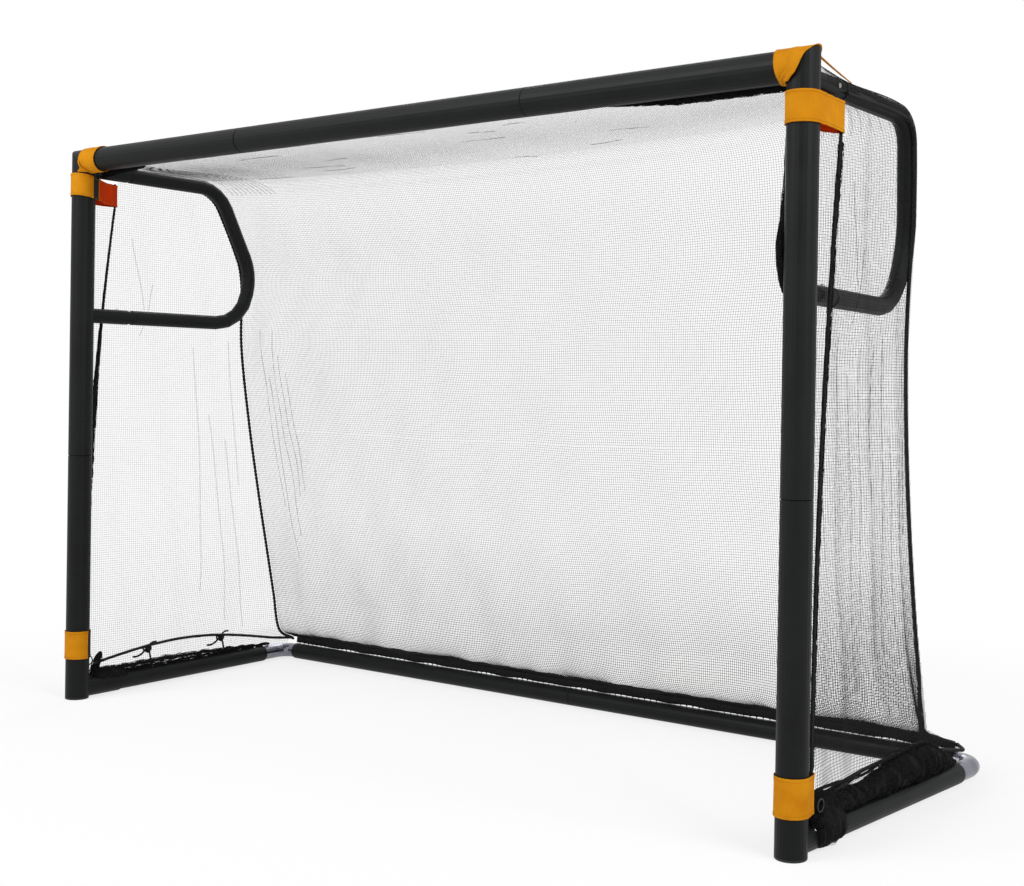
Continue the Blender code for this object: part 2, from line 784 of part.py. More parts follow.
def row_between(first, second, share):
    return [a.lerp(b, share) for a, b in zip(first, second)]


def wide_edges(side):
    """The ends of the rows of the roof and of the back, as points from the seam inwards.

    The threads pass over the loop there, and below it they run inboard of the seam."""
    held = []
    for frame in held_frames(side):
        held.append([round_loop(side, frame, angle, NET_RADIUS) for angle in NET_ANGLES])
    mouth = (post_point(side, LOOP_TOP_HEIGHT) + Y_AXIS * ROOF_FRONT, X_AXIS, Z_AXIS)
    front = [round_loop(side, mouth, angle, FRONT_NET_RADIUS) for angle in NET_ANGLES]
    bend = 1 + BEND_STEPS // 2
    run = BEND_STEPS + 1
    roof = [front, held[0], row_between(held[0], held[1], 0.5)] + held[1 : bend + 1]
    back = [row_between(held[bend], held[bend + 1], 0.35)] + held[bend + 1 : run + 1]
    back += [row_between(held[run], held[run + 1], 0.5)] + held[run + 1 :]
    seam = seam_line(side)
    free = seam[SEAM_HELD + 1 : -1]
    foot = seam[-2].lerp(seam[-1], 0.5)
    foot.z = 2 * SIDE_RADIUS + FIT + HEM_HEIGHT + THREAD / 2 + CORD_TO_NET
    for point in free + [foot]:
        row = []
        for inset, setback in zip(FREE_NET_INSETS, FREE_NET_SETBACKS):
            row.append(point - X_AXIS * SIDES[side] * inset + Y_AXIS * setback)
        back.append(row)
    return roof, back


def wide_net(name, left, right, bellies):
    """A net between the loops, drawn down and forwards in between, a belly for each row."""
    wrapped = len(NET_ANGLES) - 1
    columns = WIDE_COLUMNS + 2 * wrapped
    rows = len(left) - 1

    def place(u, v):
        row = round(v * rows)
        column = round(u * columns)
        if column <= wrapped:
            return left[row][column]
        if columns - column <= wrapped:
            return right[row][columns - column]
        share = (column - wrapped) / WIDE_COLUMNS
        point = left[row][-1].lerp(right[row][-1], share)
        return point + bellies[row] * (4 * share * (1 - share))

    return net_part(name, columns, rows, place)


def roof_and_back():
    left_roof, left_back = wide_edges("left")
    right_roof, right_back = wide_edges("right")
    ridge = Vector((0, -RIDGE_SAG, -RIDGE_DROP))
    front = left_roof[0][-1].y
    reach = left_roof[-1][-1].y - front
    roof_bellies = [ridge * ((row[-1].y - front) / reach) for row in left_roof]
    wide_net("roof_net", left_roof, right_roof, roof_bellies)
    top = left_back[0][-1].z
    drop = top - left_back[-1][-1].z
    foot_reach = GROUND_DEPTH - left_back[-1][-1].y
    back_bellies = []
    for number, row in enumerate(left_back):
        hang = ((top - row[-1].z) / drop) ** BACK_HANG
        sag = -BACK_SAG * math.sin(math.pi * hang)
        pull = foot_reach * (number / (len(left_back) - 1)) ** 8
        back_bellies.append(ridge * (1 - hang) + Y_AXIS * (sag + pull))
    wide_net("back_net", left_back, right_back, back_bellies)


def side_net(side):
    """The net between the front cord, the seam cord and the ground cord."""
    out = X_AXIS * SIDES[side]
    lift = GROUND_CORD_RADIUS + THREAD / 2 + CORD_TO_NET + GROUND_CORD_CHORD
    line = [point + out * NET_TO_SEAM for point in seam_line(side)]
    bend = 1 + BEND_STEPS // 2
    rear = line[bend:]
    rear[-1] = rear[-1] + Z_AXIS * lift
    foot = [point + Z_AXIS * lift for point in ground_cord_line(side)] + [rear[-1]]
    front = front_cord_line(side, foot[0].z, line[0].z, SIDE_ROWS, FRONT_CORD_TO_NET)[::-1]
    for point in front:
        point.x = line[0].x
    foot[0] = front[-1]
    top = [front[0]] + line[: bend + 1]

    def place(u, v):
        edges = along(top, u).lerp(along(foot, u), v) + along(front, v).lerp(along(rear, v), u)
        corners = top[0].lerp(top[-1], u).lerp(foot[0].lerp(foot[-1], u), v)
        return edges - corners

    return net_part(f"{side}_side_net", SIDE_COLUMNS, SIDE_ROWS, place)


def cord(name, points, radius):
    return add_part(name, tube_mesh(name, points, radius, CORD_SIDES, True), WEBBING)


def slab(name, low, high, material):
    """A flat strip between two corners, its long edges a little rounded."""
    mesh = bpy.data.meshes.new(name)
    work = bmesh.new()
    size = Matrix.Diagonal((*(high - low), 1))
    bmesh.ops.create_cube(work, size=1, matrix=Matrix.Translation((low + high) / 2) @ size)
    work.to_mesh(mesh)
    work.free()
    return add_part(name, mesh, material)


def hems():
    half = HEM_THICKNESS / 2
    end = REAR_X - REAR_TUBE_GAP
    bottom = 2 * SIDE_RADIUS + FIT
    low = Vector((-end, GROUND_DEPTH - half, bottom))
    high = Vector((end, GROUND_DEPTH + half, bottom + HEM_HEIGHT))
    slab("rear_hem", low, high, WEBBING)
    front = POST_RADIUS + FIT
    end = POST_X - BAR_HEM_END_GAP
    low = Vector((-end, front, BAR_Z - BAR_HEM_HEIGHT / 2))
    high = Vector((end, front + HEM_THICKNESS, BAR_Z + BAR_HEM_HEIGHT / 2))
    slab("crossbar_hem", low, high, WEBBING)


def tie(name, side, reach):
    """A short cord with its knot, between the side tube and the gathering cord."""
    tube_top = side_axis(side, reach).z + SIDE_RADIUS + FIT
    line = ground_cord_line(side, 40)
    over = min(line, key=lambda point: abs(point.y - reach))
    cord_bottom = over.z - GROUND_CORD_RADIUS - FIT
    middle = (tube_top + cord_bottom) / 2
    knot = TIE_KNOT_RADIUS
    profile = [(0, cord_bottom), (TIE_CORD_RADIUS, cord_bottom)]
    for step in range(7):
        angle = math.pi * step / 6
        radius = TIE_CORD_RADIUS + (knot - TIE_CORD_RADIUS) * math.sin(angle)
        profile.append((radius, middle + knot * math.cos(angle)))
    profile += [(TIE_CORD_RADIUS, tube_top), (0, tube_top)]
    place = Matrix.Translation((side_axis(side, reach).x, reach, 0))
    return turned(name, profile, WEBBING, place, 8)


def hull_outline(first, first_radius, second, second_radius, steps=8):
    """The outline of a band pulled tight round two circles, as 2D points."""
    between = second - first
    heading = math.atan2(between.y, between.x)
    lean = math.acos((first_radius - second_radius) / between.length)
    points = []
    for step in range(2 * steps + 1):
        angle = heading + lean + (2 * math.pi - 2 * lean) * step / (2 * steps)
        points.append(first + Vector((math.cos(angle), math.sin(angle))) * first_radius)
    for step in range(steps + 1):
        angle = heading - lean + 2 * lean * step / steps
        points.append(second + Vector((math.cos(angle), math.sin(angle))) * second_radius)
    return points


def band(name, outlines, width, matrix):
    """A strap as a flat ring outline, extruded to the strap's width."""
    curve = bpy.data.curves.new(name, "CURVE")
    curve.dimensions = "2D"
    curve.fill_mode = "BOTH"
    curve.extrude = width / 2
    for outline in outlines:
        spline = curve.splines.new("POLY")
        spline.points.add(len(outline) - 1)
        for point, place in zip(spline.points, outline):
            point.co = (place.x, place.y, 0, 1)
        spline.use_cyclic_u = True
    guide = bpy.data.objects.new(name, curve)
    bpy.context.scene.collection.objects.link(guide)
    graph = bpy.context.evaluated_depsgraph_get()
    mesh = bpy.data.meshes.new_from_object(guide.evaluated_get(graph))
    bpy.data.objects.remove(guide)
    bpy.data.curves.remove(curve)
    work = bmesh.new()
    work.from_mesh(mesh)
    bmesh.ops.remove_doubles(work, verts=work.verts, dist=0.00001)
    bmesh.ops.recalc_face_normals(work, faces=work.faces)
    work.to_mesh(mesh)
    work.free()
    return add_part(name, mesh, STRAP_WEB, matrix)


def post_band(name, side, bottom, width, reach):
    """A strap round a post and the front cord behind it."""
    post = Vector((0, 0))
    held = Vector((SIDES[side] * FRONT_CORD_OUT, reach))
    outlines = []
    for grow in (STRAP_GAP + STRAP_THICKNESS, STRAP_GAP):
        outlines.append(
            hull_outline(post, POST_RADIUS + grow, held, SEAM_CORD_RADIUS + grow)
        )
    place = Matrix.Translation(post_point(side, bottom + width / 2))
    return band(name, outlines, width, place)


def bar_band(name, side):
    """A strap round the crossbar, cut along the mitre, whose tail goes back to the net."""
    out = SIDES[side]
    radius = POST_RADIUS + STRAP_GAP + STRAP_THICKNESS
    mitre = Vector((out * (POST_X - FIT), 0, BAR_Z))
    inner = mitre - X_AXIS * out * BAR_STRAP_WIDTH
    reach = X_AXIS * out * BAR_STRAP_WIDTH
    mesh = tube_mesh(name, [inner - reach, mitre + reach], radius, POST_SIDES, False)
    work = bmesh.new()
    work.from_mesh(mesh)
    for point, beyond in (
        (mitre, Vector((out, 0, -1))),
        (inner, Vector((-out, 0, -BAR_STRAP_TAPER))),
    ):
        everything = work.verts[:] + work.edges[:] + work.faces[:]
        bmesh.ops.bisect_plane(
            work, geom=everything, plane_co=point, plane_no=beyond, clear_outer=True
        )
    work.to_mesh(mesh)
    work.free()
    part = add_part(name, mesh, STRAP_WEB)
    hollow(part, STRAP_THICKNESS)
    arm_end = post_point(side, LOOP_TOP_HEIGHT) + Y_AXIS * LOOP_STUB_LENGTH
    relief = rod(name + "_relief", post_point(side, LOOP_TOP_HEIGHT), arm_end,
                 LOOP_RADIUS + STRAP_GAP, LOOP_SIDES)
    boolean(part, relief, "DIFFERENCE")
    boolean(part, bar_tail(name + "_tail", side), "UNION")
    return part


def bar_tail(name, side):
    """The strap's tail: it leaves the ring at a tangent and ends on the net over the loop."""
    middle = POST_RADIUS + STRAP_GAP + STRAP_THICKNESS / 2
    over_arm = NET_RADIUS + THREAD / 2 + FIT + STRAP_THICKNESS / 2
    end_height = LOOP_TOP_HEIGHT + over_arm - BAR_Z
    end = Vector((0, BAR_TAIL_REACH, end_height))
    turn = math.atan2(end.z, end.y) + math.acos(middle / end.length)
    start = Vector((0, math.cos(turn), math.sin(turn))) * middle
    way = (end - start).normalized()
    start -= way * STRAP_THICKNESS
    axis = Vector((SIDES[side] * (POST_X + BAR_TAIL_OVER - BAR_TAIL_WIDTH / 2), 0, BAR_Z))
    matrix = axes_matrix(axis + (start + end) / 2, way, Z_AXIS)
    mesh = bpy.data.meshes.new(name)
    work = bmesh.new()
    size = Matrix.Diagonal(((end - start).length, BAR_TAIL_WIDTH, STRAP_THICKNESS, 1))
    bmesh.ops.create_cube(work, size=1, matrix=size)
    work.to_mesh(mesh)
    work.free()
    return add_cutter(name, mesh, matrix)


def build_side(side, middle):
    """Everything on one side of the goal. middle is the crossbar's middle section."""
    out = SIDES[side]
    corner = corner_unit(side)
    post = lower_post(side)
    foot_cap(side)
    upper = loop_half(side, "upper")
    lower = loop_half(side, "lower")
    connector = loop_connector(side, upper)
    ground = side_tube(side)
    bent = elbow(side)

    post_plug = POST_RADIUS - PLUG_STEP
    loop_plug = LOOP_RADIUS - PLUG_STEP
    corners = loop_corners(side)
    outward = X_AXIS * out
    raised = post_point(side, POST_SEAM_HEIGHT + PLUG_LENGTH / 2)
    spring_button(f"{side}_post_button", raised, Z_AXIS, Y_AXIS, POST_RADIUS, post_plug,
                  (corner, post))
    place = Vector((out * (BAR_SEAM_X + PLUG_LENGTH / 2), 0, BAR_Z))
    spring_button(f"{side}_bar_button", place, X_AXIS, Y_AXIS + Z_AXIS, POST_RADIUS,
                  post_plug, (corner, middle))
    arm = (corners[1] - corners[0]).normalized()
    place = corners[0] + arm * LOOP_BUTTON_PLACE
    spring_button(f"{side}_loop_top_button", place, arm, outward, LOOP_RADIUS, loop_plug,
                  (corner, upper))
    arm = (corners[3] - corners[4]).normalized()
    place = corners[4] + arm * LOOP_BUTTON_PLACE
    spring_button(f"{side}_loop_low_button", place, arm, Z_AXIS, LOOP_RADIUS, loop_plug,
                  (corner, lower))
    run = (corners[2] - corners[1]).normalized()
    place = loop_seam(side) + run * LOOP_PIN_SPACING
    spring_button(f"{side}_loop_mid_button", place, run, outward, LOOP_RADIUS, loop_plug,
                  (lower, connector))
    way = side_direction(side)
    place = side_axis_start(side) + way * GROUND_BUTTON_PLACE
    spring_button(f"{side}_ground_button", place, way, outward + Z_AXIS, SOCKET_RADIUS,
                  SIDE_RADIUS, (post, ground))
    place = side_axis(side, SIDE_TUBE_END) - way * (PLUG_LENGTH / 2)
    spring_button(f"{side}_elbow_side_button", place, way, Z_AXIS, SIDE_RADIUS,
                  ELBOW_RADIUS, (ground, bent))
    return bent


def build_rear(elbows):
    left, right = rear_tube_halves()
    middle = Vector((PLUG_LENGTH / 2, GROUND_DEPTH, SIDE_RADIUS))
    spring_button("rear_tube_button", middle, X_AXIS, Y_AXIS, SIDE_RADIUS, ELBOW_RADIUS,
                  (left, right))
    for side, tube in (("left", left), ("right", right)):
        reach = REAR_X - REAR_TUBE_GAP - PLUG_LENGTH / 2
        place = Vector((SIDES[side] * reach, GROUND_DEPTH, SIDE_RADIUS))
        spring_button(f"{side}_elbow_rear_button", place, X_AXIS, Y_AXIS, SIDE_RADIUS,
                      ELBOW_RADIUS, (tube, elbows[side]))


def build_soft(side):
    side_net(side)
    cord(f"{side}_seam_cord", seam_line(side), SEAM_CORD_RADIUS)
    top = post_strap_top(side) - SEAM_CORD_RADIUS
    front = front_cord_line(side, FRONT_CORD_BOTTOM, top, 14)
    cord(f"{side}_front_cord", front, SEAM_CORD_RADIUS)
    cord(f"{side}_ground_cord", ground_cord_line(side), GROUND_CORD_RADIUS)
    for number, reach in enumerate(TIE_PLACES[side], start=1):
        tie(f"{side}_tie_{number}", side, reach)
    bottom = post_strap_top(side) - POST_STRAP_WIDTH
    post_band(f"{side}_post_strap", side, bottom, POST_STRAP_WIDTH, FRONT_CORD_TOP_REACH)
    post_band(f"{side}_foot_strap", side, FOOT_STRAP_BOTTOM[side], FOOT_STRAP_WIDTH,
              FRONT_CORD_LOW_REACH)
    bar_band(f"{side}_bar_strap", side)


def main():
    bar = crossbar_middle()
    elbows = {side: build_side(side, bar) for side in SIDES}
    build_rear(elbows)
    roof_and_back()
    hems()
    for side in SIDES:
        build_soft(side)


main()
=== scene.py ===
"""A small portable soccer goal: black tube frame, fine black net and orange straps.

Sizes are in metres. Points are worked out with y = 0 on the posts' axis, and each piece
is moved to the frame's own origin when its mesh is made.
"""

import json
import logging
import math
from abc import ABC, abstractmethod
from dataclasses import dataclass
from enum import Enum
from functools import cache
from typing import ClassVar, Optional, Protocol, Sequence

import bpy
import numpy as np
from mathutils import Matrix
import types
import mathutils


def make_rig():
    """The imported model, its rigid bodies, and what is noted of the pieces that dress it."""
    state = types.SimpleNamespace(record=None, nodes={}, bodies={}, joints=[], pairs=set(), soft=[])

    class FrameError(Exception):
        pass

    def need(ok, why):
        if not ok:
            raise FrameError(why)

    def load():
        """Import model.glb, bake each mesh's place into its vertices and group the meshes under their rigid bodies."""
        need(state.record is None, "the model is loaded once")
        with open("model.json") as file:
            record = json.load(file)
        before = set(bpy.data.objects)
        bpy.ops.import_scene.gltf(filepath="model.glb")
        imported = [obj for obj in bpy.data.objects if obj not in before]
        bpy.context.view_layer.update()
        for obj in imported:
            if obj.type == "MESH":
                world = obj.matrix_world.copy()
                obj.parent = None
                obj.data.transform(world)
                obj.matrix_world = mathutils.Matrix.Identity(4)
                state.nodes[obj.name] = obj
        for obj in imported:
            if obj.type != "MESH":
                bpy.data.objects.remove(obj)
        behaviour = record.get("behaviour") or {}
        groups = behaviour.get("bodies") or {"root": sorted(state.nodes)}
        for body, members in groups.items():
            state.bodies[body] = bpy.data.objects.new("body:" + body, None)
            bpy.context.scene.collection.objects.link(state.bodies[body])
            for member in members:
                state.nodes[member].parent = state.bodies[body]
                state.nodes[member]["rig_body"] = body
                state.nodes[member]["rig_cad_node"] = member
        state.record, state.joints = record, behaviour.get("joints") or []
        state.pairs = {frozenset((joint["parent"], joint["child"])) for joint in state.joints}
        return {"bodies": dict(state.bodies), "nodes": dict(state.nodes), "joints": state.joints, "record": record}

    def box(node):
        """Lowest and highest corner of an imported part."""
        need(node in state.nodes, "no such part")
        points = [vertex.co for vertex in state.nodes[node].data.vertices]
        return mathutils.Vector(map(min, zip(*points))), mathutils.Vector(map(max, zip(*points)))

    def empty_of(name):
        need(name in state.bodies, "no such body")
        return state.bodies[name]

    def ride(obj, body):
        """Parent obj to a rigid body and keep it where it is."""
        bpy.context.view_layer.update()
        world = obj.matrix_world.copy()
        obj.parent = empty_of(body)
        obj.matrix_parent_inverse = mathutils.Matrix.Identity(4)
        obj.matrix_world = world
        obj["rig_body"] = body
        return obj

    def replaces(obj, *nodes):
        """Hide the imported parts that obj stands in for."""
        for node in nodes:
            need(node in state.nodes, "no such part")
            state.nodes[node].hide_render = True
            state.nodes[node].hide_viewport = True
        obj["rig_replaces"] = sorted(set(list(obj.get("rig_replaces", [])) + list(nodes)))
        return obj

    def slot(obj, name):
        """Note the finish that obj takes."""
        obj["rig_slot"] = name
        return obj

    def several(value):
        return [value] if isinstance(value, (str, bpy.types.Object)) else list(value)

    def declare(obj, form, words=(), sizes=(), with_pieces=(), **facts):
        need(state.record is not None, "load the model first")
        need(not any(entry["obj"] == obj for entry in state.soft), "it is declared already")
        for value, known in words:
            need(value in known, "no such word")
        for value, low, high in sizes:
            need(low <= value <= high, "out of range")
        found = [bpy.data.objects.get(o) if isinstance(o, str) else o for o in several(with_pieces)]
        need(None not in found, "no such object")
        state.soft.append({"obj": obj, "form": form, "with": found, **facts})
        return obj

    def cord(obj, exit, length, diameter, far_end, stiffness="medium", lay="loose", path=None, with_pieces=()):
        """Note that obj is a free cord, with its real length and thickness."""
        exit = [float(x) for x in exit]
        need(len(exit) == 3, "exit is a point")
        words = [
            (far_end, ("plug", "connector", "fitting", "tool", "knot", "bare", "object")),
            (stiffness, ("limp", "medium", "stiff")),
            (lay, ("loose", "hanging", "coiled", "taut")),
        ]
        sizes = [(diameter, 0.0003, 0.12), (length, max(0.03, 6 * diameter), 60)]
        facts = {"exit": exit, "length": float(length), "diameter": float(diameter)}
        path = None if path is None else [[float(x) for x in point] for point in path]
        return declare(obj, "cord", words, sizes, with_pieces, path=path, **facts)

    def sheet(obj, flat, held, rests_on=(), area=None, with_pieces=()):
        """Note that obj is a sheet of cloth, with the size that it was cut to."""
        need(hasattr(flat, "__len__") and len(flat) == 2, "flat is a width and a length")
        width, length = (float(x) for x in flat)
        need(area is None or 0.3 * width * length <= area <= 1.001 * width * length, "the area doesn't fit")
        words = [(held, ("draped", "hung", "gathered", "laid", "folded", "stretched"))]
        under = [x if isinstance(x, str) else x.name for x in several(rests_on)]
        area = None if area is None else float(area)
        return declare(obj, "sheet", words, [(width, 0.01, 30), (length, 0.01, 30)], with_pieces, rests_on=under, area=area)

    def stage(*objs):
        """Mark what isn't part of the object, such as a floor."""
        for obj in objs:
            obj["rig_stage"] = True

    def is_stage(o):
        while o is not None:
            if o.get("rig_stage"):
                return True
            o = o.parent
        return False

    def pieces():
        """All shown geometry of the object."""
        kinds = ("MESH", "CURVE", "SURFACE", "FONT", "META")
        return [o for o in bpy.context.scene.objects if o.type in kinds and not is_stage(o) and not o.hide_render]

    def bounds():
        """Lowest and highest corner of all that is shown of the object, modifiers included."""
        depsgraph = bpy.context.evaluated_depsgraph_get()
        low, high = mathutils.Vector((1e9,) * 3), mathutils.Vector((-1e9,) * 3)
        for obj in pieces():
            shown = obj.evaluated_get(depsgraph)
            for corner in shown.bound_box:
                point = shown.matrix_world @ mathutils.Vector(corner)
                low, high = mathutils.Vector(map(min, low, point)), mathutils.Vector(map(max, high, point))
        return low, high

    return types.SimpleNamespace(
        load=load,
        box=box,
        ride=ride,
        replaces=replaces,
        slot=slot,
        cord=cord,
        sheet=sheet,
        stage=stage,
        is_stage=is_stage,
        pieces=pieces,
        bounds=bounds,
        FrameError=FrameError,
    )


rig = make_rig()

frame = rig.load()
CAD_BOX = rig.bounds()

Array = np.ndarray
Tree = bpy.types.NodeTree
Socket = bpy.types.NodeSocket

LOG = logging.getLogger("goal")
MM = 0.001
X_AXIS, Y_AXIS, UP = np.eye(3)
SKEW = np.array((0.37, 0.61, 0.70))  # A direction that no tube or thread runs along.
NET_SHARE = 0.301  # The threads cover less, but a sheet may have no smaller area than this.
FEET = [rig.box(f"{word}_foot_cap") for word in ("left", "right")]
POST_X = (FEET[1][0].x + FEET[1][1].x) / 2
ORIGIN = np.array((0.0, (FEET[0][0].y + FEET[0][1].y) / 2, 0.0))


class Side(Enum):
    """The goal's two ends, seen from the field."""

    LEFT = "left"
    RIGHT = "right"

    @property
    def sign(self) -> float:
        """The sign of x on this side."""
        return -1.0 if self is Side.LEFT else 1.0

    @property
    def out(self) -> Array:
        """The direction out of the goal on this side."""
        return X_AXIS * self.sign

    def node(self, name: str) -> str:
        """The name of this side's node or piece."""
        return f"{self.value}_{name}"


class ThreadWay(Enum):
    """The two ways that the net's threads run, with the side on which they cross."""

    DOWN = 1
    ACROSS = -1


# Colour and shader nodes


def linear(colour: str) -> tuple[float, ...]:
    """Turns an sRGB colour, #RRGGBB, into linear red, green, blue and a full alpha."""
    parts = [int(colour[start : start + 2], 16) / 255 for start in (1, 3, 5)]
    bent = [p / 12.92 if p <= 0.04045 else ((p + 0.055) / 1.055) ** 2.4 for p in parts]
    return (*bent, 1.0)


def add_node(
    tree: Tree, kind: str, settings: Optional[dict] = None, links: Optional[dict] = None
) -> bpy.types.Node:
    """Adds one shader node with its settings and links.

    Args:
        tree: The material's or the world's node tree.
        kind: The node's type name without ShaderNode.
        settings: Values by property name or by input name or number.
        links: Sockets that feed this node, by input name or number.

    Returns:
        The new node.
    """
    node = tree.nodes.new("ShaderNode" + kind)
    for key, value in (settings or {}).items():
        if isinstance(key, str) and hasattr(node, key):
            setattr(node, key, value)
        else:
            node.inputs[key].default_value = value
    for key, socket in (links or {}).items():
        tree.links.new(socket, node.inputs[key])
    return node


def ramp(
    tree: Tree, factor: Socket, low: str, high: str, start: float = 0.3, end: float = 0.7
) -> Socket:
    """A colour that changes from one sRGB colour to another.

    Args:
        tree: The material's node tree.
        factor: The number that it follows.
        low: The colour at and below start.
        high: The colour at and above end.
        start: The factor where the change starts.
        end: The factor where it ends.

    Returns:
        The colour.
    """
    node = add_node(tree, "ValToRGB", links={"Fac": factor})
    for point, place, colour in zip(node.color_ramp.elements, (start, end), (low, high)):
        point.position, point.color = place, linear(colour)
    return node.outputs["Color"]


def spread(
    tree: Tree, value: Socket, low: float, high: float, start: float = 0.3, end: float = 0.7
) -> Socket:
    """A number that goes from low to high while value goes from start to end."""
    settings = {"From Min": start, "From Max": end, "To Min": low, "To Max": high}
    return add_node(tree, "MapRange", settings, {"Value": value}).outputs["Result"]


def bump(tree: Tree, height: Socket, strength: float, distance: float) -> Socket:
    """The normal of a surface with this relief, whose height is given in metres."""
    settings = {"Strength": strength, "Distance": distance}
    return add_node(tree, "Bump", settings, {"Height": height}).outputs["Normal"]


def grain(
    tree: Tree, size: float, detail: float, stretch: tuple[float, ...] = (1.0, 1.0, 1.0)
) -> Socket:
    """A noise pattern in the goal's own metres.

    Args:
        tree: The material's node tree.
        size: The width of one grain in metres.
        detail: How many finer layers it has.
        stretch: How much closer the grains lie along x, y and z.

    Returns:
        The noise as a number from 0 to 1.
    """
    place = add_node(tree, "TexCoord").outputs["Object"]
    pulled = add_node(tree, "Mapping", {"Scale": stretch}, {"Vector": place})
    settings = {"Scale": 1 / size, "Detail": detail}
    noise = add_node(tree, "TexNoise", settings, {"Vector": pulled.outputs["Vector"]})
    return noise.outputs["Fac"]


def new_material(name: str) -> tuple[bpy.types.Material, Tree]:
    """A material with an empty node tree."""
    material = bpy.data.materials.new(name)
    material.use_nodes = True
    material.node_tree.nodes.clear()
    return material, material.node_tree


# Finishes


@dataclass(frozen=True)
class Finish(ABC):
    """What every finish has: its name, two tones, the record's slot and shader settings."""

    name: str = ""
    dark: str = ""
    pale: str = ""
    slot: ClassVar[str] = ""
    settings: ClassVar[dict] = {}

    @abstractmethod
    def links(self, tree: Tree) -> dict:
        """The patterns that feed the shader's sockets."""

    def build(self) -> bpy.types.Material:
        """Makes the material, with its numbers on the shader's own sockets."""
        material, tree = new_material(self.name)
        shader = add_node(tree, "BsdfPrincipled", self.settings, self.links(tree))
        add_node(tree, "OutputMaterial", links={"Surface": shader.outputs["BSDF"]})
        return material


@dataclass(frozen=True)
class PowderCoat(Finish):
    """Black satin polyester powder coat, sprayed and baked on drawn steel tube.

    Its faint orange peel breaks up its highlights. The peel is about 1 mm on a real tube
    and is drawn coarser here, so that it shows.
    """

    name: str = "satin_black_powder_coat"
    dark: str = "#0B0C0C"
    pale: str = "#131515"
    peel: float = 3.5 * MM
    dust: float = 70 * MM
    slot: ClassVar[str] = "black_coat"
    settings: ClassVar[dict] = {"IOR": 1.5, "Specular IOR Level": 0.16}

    def links(self, tree: Tree) -> dict:
        """A cloudy tone and gloss, and the peel."""
        cloud = grain(tree, self.dust, 4.0)
        return {
            "Base Color": ramp(tree, cloud, self.dark, self.pale),
            "Roughness": spread(tree, cloud, 0.44, 0.54),
            "Normal": bump(tree, grain(tree, self.peel, 1.0), 0.22, 0.5 * MM),
        }


@dataclass(frozen=True)
class BareSteel(Finish):
    """Bright zinc-plated steel tube, as drawn and bent: grey metal with fine draw marks."""

    name: str = "bright_zinc_plated_steel"
    dark: str = "#74747E"
    pale: str = "#84848E"
    cloud: float = 30 * MM
    scratch: float = 1.6 * MM
    slot: ClassVar[str] = "bare_steel"
    settings: ClassVar[dict] = {"Metallic": 1.0}

    def links(self, tree: Tree) -> dict:
        """The uneven plating and the marks along the tube."""
        marks = grain(tree, self.scratch, 3.0, (1.0, 0.12, 1.0))
        return {
            "Base Color": ramp(tree, grain(tree, self.cloud, 1.0), self.dark, self.pale),
            "Roughness": spread(tree, marks, 0.24, 0.30),
            "Normal": bump(tree, marks, 0.04, 0.05 * MM),
        }


@dataclass(frozen=True)
class FineFinish(Finish):
    """A finish whose tone and relief follow one fine pattern."""

    size: float = 1 * MM
    detail: float = 1.0
    stretch: tuple[float, ...] = (1.0, 1.0, 1.0)
    tones: tuple[float, float] = (0.3, 0.7)
    relief: tuple[float, float] = (0.15, 0.05 * MM)

    def links(self, tree: Tree) -> dict:
        """The pattern's tone and relief."""
        fine = grain(tree, self.size, self.detail, self.stretch)
        return {
            "Base Color": ramp(tree, fine, self.dark, self.pale, *self.tones),
            "Normal": bump(tree, fine, *self.relief),
        }


@dataclass(frozen=True)
class NickelSpring(FineFinish):
    """Nickel-plated spring steel, stamped and tumbled: bright, with tumbling dimples."""

    name: str = "nickel_plated_spring_steel"
    dark: str = "#B4B2AC"
    pale: str = "#DEDDD8"
    size: float = 0.8 * MM
    slot: ClassVar[str] = "spring_steel"
    settings: ClassVar[dict] = {"Metallic": 1.0, "Roughness": 0.22}


@dataclass(frozen=True)
class MouldedPlastic(FineFinish):
    """Injection-moulded black polyethylene: dull, paler where its eroded grain stands up."""

    name: str = "moulded_black_polyethylene"
    dark: str = "#121314"
    pale: str = "#1D1E20"
    size: float = 0.9 * MM
    detail: float = 2.0
    relief: tuple[float, float] = (0.3, 0.15 * MM)
    slot: ClassVar[str] = "plastic"
    settings: ClassVar[dict] = {"IOR": 1.51, "Roughness": 0.58, "Specular IOR Level": 0.4}


@dataclass(frozen=True)
class BlackWebbing(FineFinish):
    """Black polypropylene yarn, braided into cords and woven into hem tape: dull black,
    with paler yarns where they come up."""

    name: str = "braided_black_polypropylene"
    dark: str = "#0C0C0D"
    pale: str = "#2A2A2C"
    size: float = 2.2 * MM
    detail: float = 2.0
    stretch: tuple[float, ...] = (1.0, 1.0, 1.6)
    tones: tuple[float, float] = (0.4, 0.75)
    relief: tuple[float, float] = (0.6, 0.4 * MM)
    slot: ClassVar[str] = "webbing"
    settings: ClassVar[dict] = {"Roughness": 0.8, "Specular IOR Level": 0.25, "IOR": 1.49}


@dataclass(frozen=True)
class NetThread(Finish):
    """Twisted black polyester thread of the knotless net: dyed through, so of one colour,
    with a twist that breaks up its sheen."""

    name: str = "twisted_black_polyester_thread"
    twist: float = 1.2 * MM
    slot: ClassVar[str] = "net"
    settings: ClassVar[dict] = {
        "Base Color": linear("#08080A"), "Specular IOR Level": 0.15, "IOR": 1.55,
    }

    def links(self, tree: Tree) -> dict:
        """The strands' gloss and relief."""
        strands = grain(tree, self.twist, 1.0)
        return {
            "Roughness": spread(tree, strands, 0.7, 0.95, 0.0, 1.0),
            "Normal": bump(tree, strands, 0.4, 0.1 * MM),
        }


